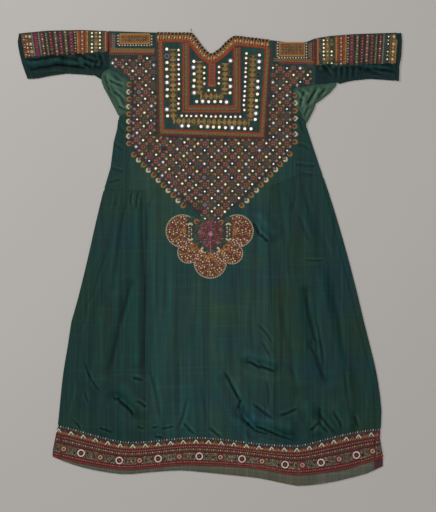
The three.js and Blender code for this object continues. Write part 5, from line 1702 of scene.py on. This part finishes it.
def make_hem_work():
    """The hem's rows: picots, peaks, zigzags, dotted lines, a mosaic with rings, dotted lines."""
    work = Needlework(front, 81)
    rows = HemRows()
    x, y, _, _ = rows.track(1.0, 6.8, 0.3)
    picots = in_turn(["lilac", "white", "grey"], len(x))
    work.stitch(x, y - 1.0, x + 1.0, y + 4.6, 2.4, picots, 0.7, 0.2)
    work.laid(rows.track(6.5, 1.7), 9.5, ["night", "green", "night", "maroon"], 1.7, 0.2, base=0.0, rise=0.3)
    x, y, _, _ = rows.track(9.5, PEAK_PITCH / 2, 2)
    for k, (px, py) in enumerate(zip(x, y)):
        colour, tall, wide = (("white", 9.0, 6.4), ("red", 7.0, 5.4))[k % 2]
        for side in (-1, 1):
            work.bar(px + side * wide, py - tall * 0.5, px, py + tall * 0.5, 2.4, colour, 0.7, 0.4)
        if k % 2:
            work.knot(px, py - 1.5, 1.6, "orange", 0.8, 0.4)
    work.laid(rows.track(14.6, 1.7), 6.0, ["maroon", "soot", "brown"], 1.7, 0.2, base=0.0, rise=0.3)
    work.zigzag(rows.track(13.6, 3.6), 5.0, 7.2, 1.7, "khaki")
    work.zigzag(rows.track(16.2, 3.6), 4.5, 7.2, 1.5, "red")
    work.dots(rows.track(11.4, 7.2), 7.2, 1.4, ["cream", "khaki", "mint"])
    for depth, kind, size, colours in HEM_LINES:
        if kind == "laid":
            work.laid(rows.track(depth, 1.5), size, colours, 1.5, 0.5, base=0.0)
        elif kind == "dots":
            work.dots(rows.track(depth, size, 2), size, 1.6, colours, base=0.5)
        else:
            work.chain(rows.track(depth, 3.0), size, colours, 3.0, base=0.1)
    for k, depth in enumerate(np.arange(41.0, 61.5, 2.1)):
        x, y, _, _ = rows.track(depth, 2.7)
        lean = 1 if k % 2 else -1
        colour = work.random.choice(colour_index(list(MOSAIC)), len(x), p=list(MOSAIC.values()))
        work.stitch(x - 1.6, y - 1.3 * lean, x + 1.6, y + 1.3 * lean, 1.7, colour, 0.5, 0.0)
    x = np.array(RING_PLACES, float)
    for k, (px, py) in enumerate(zip(x, np.interp(x, rows.x, rows.level(RING_DEPTH)))):
        make_hem_ring(work, px, py, k % 2 == 1)
        for side in (-1, 1):
            make_hem_wedge(work, px, py, side, rows.loops, "black" if k % 2 else "maroon")
    work.build("hem_work", None)


def make_hem_ring(work, x, y, large):
    """A ringed roundel of the hem's mosaic."""
    for radius, width, colours, base in HEM_RINGS["large" if large else "small"]:
        work.laid(arc(x, y, radius, 0, 2 * math.pi, 24), width, colours, 1.5, base=base, rise=0.6)
    work.knot([x], [y], 1.7, "rose" if large else "crimson", 0.8, 1.1)


def make_hem_wedge(work, x, y, side, loops, colour):
    """Four upright stitches beside a roundel, each shorter than the one before."""
    for n in range(4):
        reach = 6.5 - 1.6 * n
        at = x + side * (15.5 + 1.5 * n)
        if within(at, y, loops, 3)[0]:
            work.stitch(at, y - reach, at, y + reach, 2.0, colour, 0.5, 0.35)


def make_facing_stitches():
    """The pale zigzag that holds the hem's facing."""
    work = Needlework(lambda x, y: FACING_TOP + flat_lift(x, y), 91)
    loop = frame_loops("hem_facing", floor=FACING_TOP - READ_DROP)[0]
    x = np.arange(loop[:, 0].min() + 6, loop[:, 0].max() - 6, HEM_READ_STEP)
    low, high = span_at(loop, x)
    for share, reach, colour in ((0.3, 4.2, "grey"), (0.62, 2.2, "sage")):
        path = np.column_stack([x, high * (1 - share) + low * share])
        work.zigzag(path, reach, 7.5, 0.9, colour, base=0.05)
    work.build("facing_stitches", None)


# Settings

class DressCloth(bpy.types.PropertyGroup):
    """Sizes of the cloth"""

    grid: bpy.props.FloatProperty(
        name="Cloth grid", description="Spacing of the points of the front, in millimetres",
        default=4.5, min=3, max=20,
    )
    # Strength of the painted shade in the satin's creases and the painted light on its ridges.
    painted_crease_shade_strength: bpy.props.FloatProperty(
        name="Hollows", description="How much darker the satin looks deep in its creases",
        default=0.9, min=0, max=1,
    )
    creases: bpy.props.FloatProperty(
        name="Creases", description="Depth of the creases, as a share of the tables'",
        default=1.5, min=0, max=3,
    )


def colour_setting(name, description, red, green, blue):
    """A colour that the panel shows."""
    return bpy.props.FloatVectorProperty(
        name=name, description=description, subtype="COLOR", size=3,
        default=tone(red, green, blue)[:3], min=0, max=1,
    )


class DressSilks(bpy.types.PropertyGroup):
    """Colours of the silks"""

    centre: colour_setting("Front and back", "Satin of the centre panels", 22, 51, 47)
    gores: colour_setting("Gores", "Satin of the gores and the pieces under the arms", 16, 45, 40)
    gussets: colour_setting("Gussets", "Pale satin of the gussets", 44, 68, 57)
    sleeves: colour_setting("Sleeves", "Satin of the sleeves", 8, 31, 30)
    hem: colour_setting("Hem", "Ground of the hem's border", 62, 34, 38)
    lining: colour_setting("Hem's facing", "Cloth of the hem's facing", 66, 70, 58)


class DressNeedlework(bpy.types.PropertyGroup):
    """Looks of the needlework and its mirrors"""

    mirror_tilt: bpy.props.FloatProperty(
        name="Mirror tilt", description="How far the mirrors lean, in degrees", default=5.0, min=0, max=15,
    )
    fading: bpy.props.FloatProperty(
        name="Fading", description="How much of the thread has faded", default=0.3, min=0, max=1,
    )
    knot_size: bpy.props.FloatProperty(
        name="Knots", description="Size of the knots, as a share of their usual size",
        default=1.0, min=0.5, max=2,
    )


class DressStage(bpy.types.PropertyGroup):
    """The floor, the lights and the camera"""

    floor_colour: bpy.props.FloatVectorProperty(
        name="Floor", description="Colour of the plain floor", subtype="COLOR",
        size=3, default=tone(166, 162, 158)[:3], min=0, max=1,
    )
    floor_size: bpy.props.FloatProperty(
        name="Floor size", description="Length of the square floor's sides", default=8.0, unit="LENGTH",
    )
    lens: bpy.props.FloatProperty(
        name="Lens", description="Focal length of the camera, in millimetres", default=120.0,
    )
    softbox_power: bpy.props.FloatProperty(
        name="Softbox", description="Power of the large softbox overhead", default=205.0, unit="POWER",
    )
    key_power: bpy.props.FloatProperty(
        name="Side light", description="Power of the light that shows the creases",
        default=160.0, unit="POWER",
    )


# Camera and floor

PICTURE_MIDDLE = (22.5, 4.0)  # what lies in the middle of the picture, as drawn
PICTURE_HEIGHT = 1356.8  # what the picture's height takes in
SENSOR = 36.0  # width of the camera's sensor
FLOOR_DROP = 0.0002  # how far the floor lies under the dress, in metres
FLOOR_SHADE = 0.93  # its darker places against its colour
FLOOR_ROUGHNESS = 0.9
WORLD_COLOUR = (0.5, 0.5, 0.51, 1)
WORLD_STRENGTH = 0.5
SOFTBOX = {"place": (0, 0.4, 5.6), "size": 4.6}  # over the dress's middle, in metres
SIDE_LIGHT = {"place": (-3.4, 2.6, 2.2), "size": 1.4}


def make_stage():
    """The camera over the dress, the floor under it and the lights."""
    settings = bpy.context.scene.dress_stage
    x, y = (PICTURE_MIDDLE[0] + SHIFT[0]) * MM, (PICTURE_MIDDLE[1] + SHIFT[1]) * MM
    camera_data = bpy.data.cameras.new("camera")
    camera_data.lens = settings.lens
    camera_data.sensor_width = SENSOR
    camera = bpy.data.objects.new("camera", camera_data)
    distance = PICTURE_HEIGHT * MM * settings.lens / SENSOR
    camera.location = (x, y, distance)
    bpy.context.scene.collection.objects.link(camera)
    bpy.context.scene.camera = camera

    half = settings.floor_size / 2
    mesh = bpy.data.meshes.new("floor")
    corners = [(-half, -half, 0), (half, -half, 0), (half, half, 0), (-half, half, 0)]
    mesh.from_pydata(corners, [], [(0, 1, 2, 3)])
    floor = bpy.data.objects.new("floor", mesh)
    bpy.context.scene.collection.objects.link(floor)
    floor.location.z = -FLOOR_DROP
    material, tree, shader = new_material("floor_paper")
    soft = stretched_noise(tree, object_place(tree), (1.2, 1.2, 1.2), 2)
    colour = (*settings.floor_colour, 1.0)
    darker = tuple(FLOOR_SHADE * c for c in colour[:3]) + (1.0,)
    tree.links.new(mixed(tree, soft, colour, darker), shader.inputs["Base Color"])
    shader.inputs["Roughness"].default_value = FLOOR_ROUGHNESS
    mesh.materials.append(material)

    middle = Vector((x, y, 0))
    for name, lamp_form, power in (
        ("softbox", SOFTBOX, settings.softbox_power), ("side_light", SIDE_LIGHT, settings.key_power),
    ):
        light = bpy.data.lights.new(name, "AREA")
        light.energy = power
        light.size = lamp_form["size"]
        lamp = bpy.data.objects.new(name, light)
        lamp.location = middle + Vector(lamp_form["place"])
        aim = middle - lamp.location
        lamp.rotation_euler = aim.to_track_quat("-Z", "Y").to_euler()
        bpy.context.scene.collection.objects.link(lamp)
    world = bpy.data.worlds.new("studio")
    world.use_nodes = True
    background = world.node_tree.nodes["Background"]
    background.inputs["Color"].default_value = WORLD_COLOUR
    background.inputs["Strength"].default_value = WORLD_STRENGTH
    bpy.context.scene.world = world
    bpy.context.scene.view_settings.view_transform = "Standard"


# The cloth pieces

def make_body():
    """The front and back panels."""
    cloth("body_front", "front_body", satin("silk_centre"), skirt_lift)
    cloth("body_back", "back_body", satin("silk_centre"), still)


def make_gores():
    """The four gores of the skirt."""
    for side in ("left", "right"):
        cloth(f"gore_front_{side}", f"front_gore_{side}", satin("silk_gore"), skirt_lift)
        cloth(f"gore_back_{side}", f"back_gore_{side}", satin("silk_gore"), still)


def make_side_pieces():
    """The narrow pieces under the arms."""
    for side in ("left", "right"):
        cloth(f"underarm_{side}", f"side_{side}", satin("silk_gore"), side_lift)


def gusset_lift(node):
    """The heights of one gusset's puckers, which die away towards its edges."""
    loop = dense(frame_loops(node)[0], 4)
    bent = loop[folded_points(node, loop)]

    def lift(x, y):
        inner = smooth(distance_to(x, y, loop), 0, GUSSET_PUCKER["full"])
        to_fold = np.min(np.hypot(x[:, None] - bent[:, 0], y[:, None] - bent[:, 1]), axis=1)
        clear = smooth(to_fold, GUSSET_PUCKER["flat"], GUSSET_PUCKER["full"])
        bent_across = x * 0.8 + y * 0.6 + GUSSET_PUCKER["sway"] * np.sin(y / 19 + x / 31)
        wave = 1 + np.cos(2 * math.pi * bent_across / GUSSET_PUCKER["spacing"]) * np.sin(x / 23 - y / 37)
        broad = GUSSET_PUCKER["rise"] * inner * clear * wave / 2
        near = crease_share() * smooth(distance_to(x, y, loop), 0, 6)
        fine = near * crease_height(x, y, GUSSET_CREASES)
        return np.maximum(LOWEST, 0.8 * inner + broad + fine)

    return lift


def make_gussets():
    """The two folded gussets."""
    for side in ("left", "right"):
        node = f"gusset_{side}"
        pale = satin("silk_gusset")
        cloth(f"underarm_gusset_{side}", node, pale, gusset_lift(node))


def make_sleeves():
    """The two sleeves."""
    binding = cloth("cuff_binding", "cuff_binding_right", satin("silk_sleeve"), flat_lift,
                    level=BINDING_TOP)
    for side, trims in (("left", []), ("right", [binding])):
        cloth(f"sleeve_tube_{side}", f"sleeve_{side}", satin("silk_sleeve"), sleeve_lift)
    cloth("cuff_facing", "cuff_facing_left", satin("cuff_cloth"), flat_lift)


def make_hem_bands():
    """The ground of the border round the foot."""
    ground = satin("hem_ground")
    cloth("hem_front", "hem_band_front", ground, skirt_lift)
    cloth("hem_back", "hem_band_back", ground, flat_lift)
    cloth("hem_lining", "hem_facing", satin("facing_cloth"), flat_lift,
          level=FACING_TOP)


# Operators

class DRESS_OT_stage(bpy.types.Operator):
    """Make the floor, the lights and the camera"""

    bl_idname = "dress.stage"
    bl_label = "Stage"

    def execute(self, context):
        make_stage()
        return {"FINISHED"}


class DRESS_OT_body(bpy.types.Operator):
    """Make the chest and the centre panels, front and back"""

    bl_idname = "dress.body"
    bl_label = "Body"

    def execute(self, context):
        make_body()
        return {"FINISHED"}


class DRESS_OT_gores(bpy.types.Operator):
    """Make the four gores of the skirt"""

    bl_idname = "dress.gores"
    bl_label = "Gores"

    def execute(self, context):
        make_gores()
        return {"FINISHED"}


class DRESS_OT_side_pieces(bpy.types.Operator):
    """Make the two pieces under the arms"""

    bl_idname = "dress.side_pieces"
    bl_label = "Side pieces"

    def execute(self, context):
        make_side_pieces()
        return {"FINISHED"}


class DRESS_OT_gussets(bpy.types.Operator):
    """Make the two pale gussets"""

    bl_idname = "dress.gussets"
    bl_label = "Gussets"

    def execute(self, context):
        make_gussets()
        return {"FINISHED"}


class DRESS_OT_sleeves(bpy.types.Operator):
    """Make the sleeves, the cuff facing and the cuff binding"""

    bl_idname = "dress.sleeves"
    bl_label = "Sleeves"

    def execute(self, context):
        make_sleeves()
        return {"FINISHED"}


class DRESS_OT_hem_bands(bpy.types.Operator):
    """Make the cloth of the hem's border and its facing"""

    bl_idname = "dress.hem_bands"
    bl_label = "Hem bands"

    def execute(self, context):
        make_hem_bands()
        return {"FINISHED"}


class DRESS_OT_neck(bpy.types.Operator):
    """Work the neck's band, its checked binding and the placket"""

    bl_idname = "dress.neck"
    bl_label = "Neck"

    def execute(self, context):
        make_neck()
        return {"FINISHED"}


class DRESS_OT_yoke_borders(bpy.types.Operator):
    """Work the two square borders of the yoke"""

    bl_idname = "dress.yoke_borders"
    bl_label = "Yoke borders"

    def execute(self, context):
        make_yoke_borders()
        return {"FINISHED"}


class DRESS_OT_yoke_mirrors(bpy.types.Operator):
    """Sew the rows of mirrors and lozenges in the yoke"""

    bl_idname = "dress.yoke_mirrors"
    bl_label = "Yoke mirrors"

    def execute(self, context):
        make_yoke_mirrors()
        return {"FINISHED"}


class DRESS_OT_shoulder_boxes(bpy.types.Operator):
    """Work the ochre blocks of the shoulders"""

    bl_idname = "dress.shoulder_boxes"
    bl_label = "Shoulder boxes"

    def execute(self, context):
        make_shoulder_boxes()
        return {"FINISHED"}


class DRESS_OT_trellis(bpy.types.Operator):
    """Work the trellis of mirrors and flowers"""

    bl_idname = "dress.trellis"
    bl_label = "Trellis"

    def execute(self, context):
        make_trellis()
        return {"FINISHED"}


class DRESS_OT_medallion(bpy.types.Operator):
    """Work the lobed medallion below the trellis"""

    bl_idname = "dress.medallion"
    bl_label = "Medallion"

    def execute(self, context):
        make_medallion()
        return {"FINISHED"}


class DRESS_OT_sleeve_borders(bpy.types.Operator):
    """Work the striped borders of the sleeves"""

    bl_idname = "dress.sleeve_borders"
    bl_label = "Sleeve borders"

    def execute(self, context):
        make_sleeve_borders()
        return {"FINISHED"}


class DRESS_OT_hem_work(bpy.types.Operator):
    """Work the rows of the hem's border"""

    bl_idname = "dress.hem_work"
    bl_label = "Hem work"

    def execute(self, context):
        make_hem_work()
        return {"FINISHED"}


class DRESS_OT_facing_stitches(bpy.types.Operator):
    """Sew the zigzag of the hem's facing"""

    bl_idname = "dress.facing_stitches"
    bl_label = "Facing stitches"

    def execute(self, context):
        make_facing_stitches()
        return {"FINISHED"}


OPERATORS = (
    DRESS_OT_stage,
    DRESS_OT_body,
    DRESS_OT_gores,
    DRESS_OT_side_pieces,
    DRESS_OT_gussets,
    DRESS_OT_sleeves,
    DRESS_OT_hem_bands,
    DRESS_OT_neck,
    DRESS_OT_yoke_borders,
    DRESS_OT_yoke_mirrors,
    DRESS_OT_shoulder_boxes,
    DRESS_OT_trellis,
    DRESS_OT_medallion,
    DRESS_OT_sleeve_borders,
    DRESS_OT_hem_work,
    DRESS_OT_facing_stitches,
)


class DRESS_PT_panel(bpy.types.Panel):
    """Lists the dress's pieces and settings"""

    bl_idname = "DRESS_PT_panel"
    bl_label = "Dress"
    bl_space_type = "VIEW_3D"
    bl_region_type = "UI"
    bl_category = "Dress"

    def draw(self, context):
        for operator in OPERATORS:
            self.layout.operator(operator.bl_idname)
        for settings in (getattr(context.scene, place) for place in SETTINGS):
            for name in settings.__annotations__:
                self.layout.prop(settings, name)


SETTINGS = {
    "dress_cloth": DressCloth, "dress_silks": DressSilks, "dress_needlework": DressNeedlework,
    "dress_stage": DressStage,
}
CLASSES = (*SETTINGS.values(), *OPERATORS, DRESS_PT_panel)


def register():
    """Adds the settings, the operators and the panel."""
    for cls in CLASSES:
        bpy.utils.register_class(cls)
    for place, group in SETTINGS.items():
        setattr(bpy.types.Scene, place, bpy.props.PointerProperty(type=group))


def unregister():
    """Takes them away again."""
    for place in SETTINGS:
        delattr(bpy.types.Scene, place)
    for cls in reversed(CLASSES):
        bpy.utils.unregister_class(cls)


def main():
    """Makes every piece and the stage."""
    register()
    for operator in OPERATORS:
        _, name = operator.bl_idname.split(".")
        getattr(bpy.ops.dress, name)()


if __name__ == "__main__":
    main()
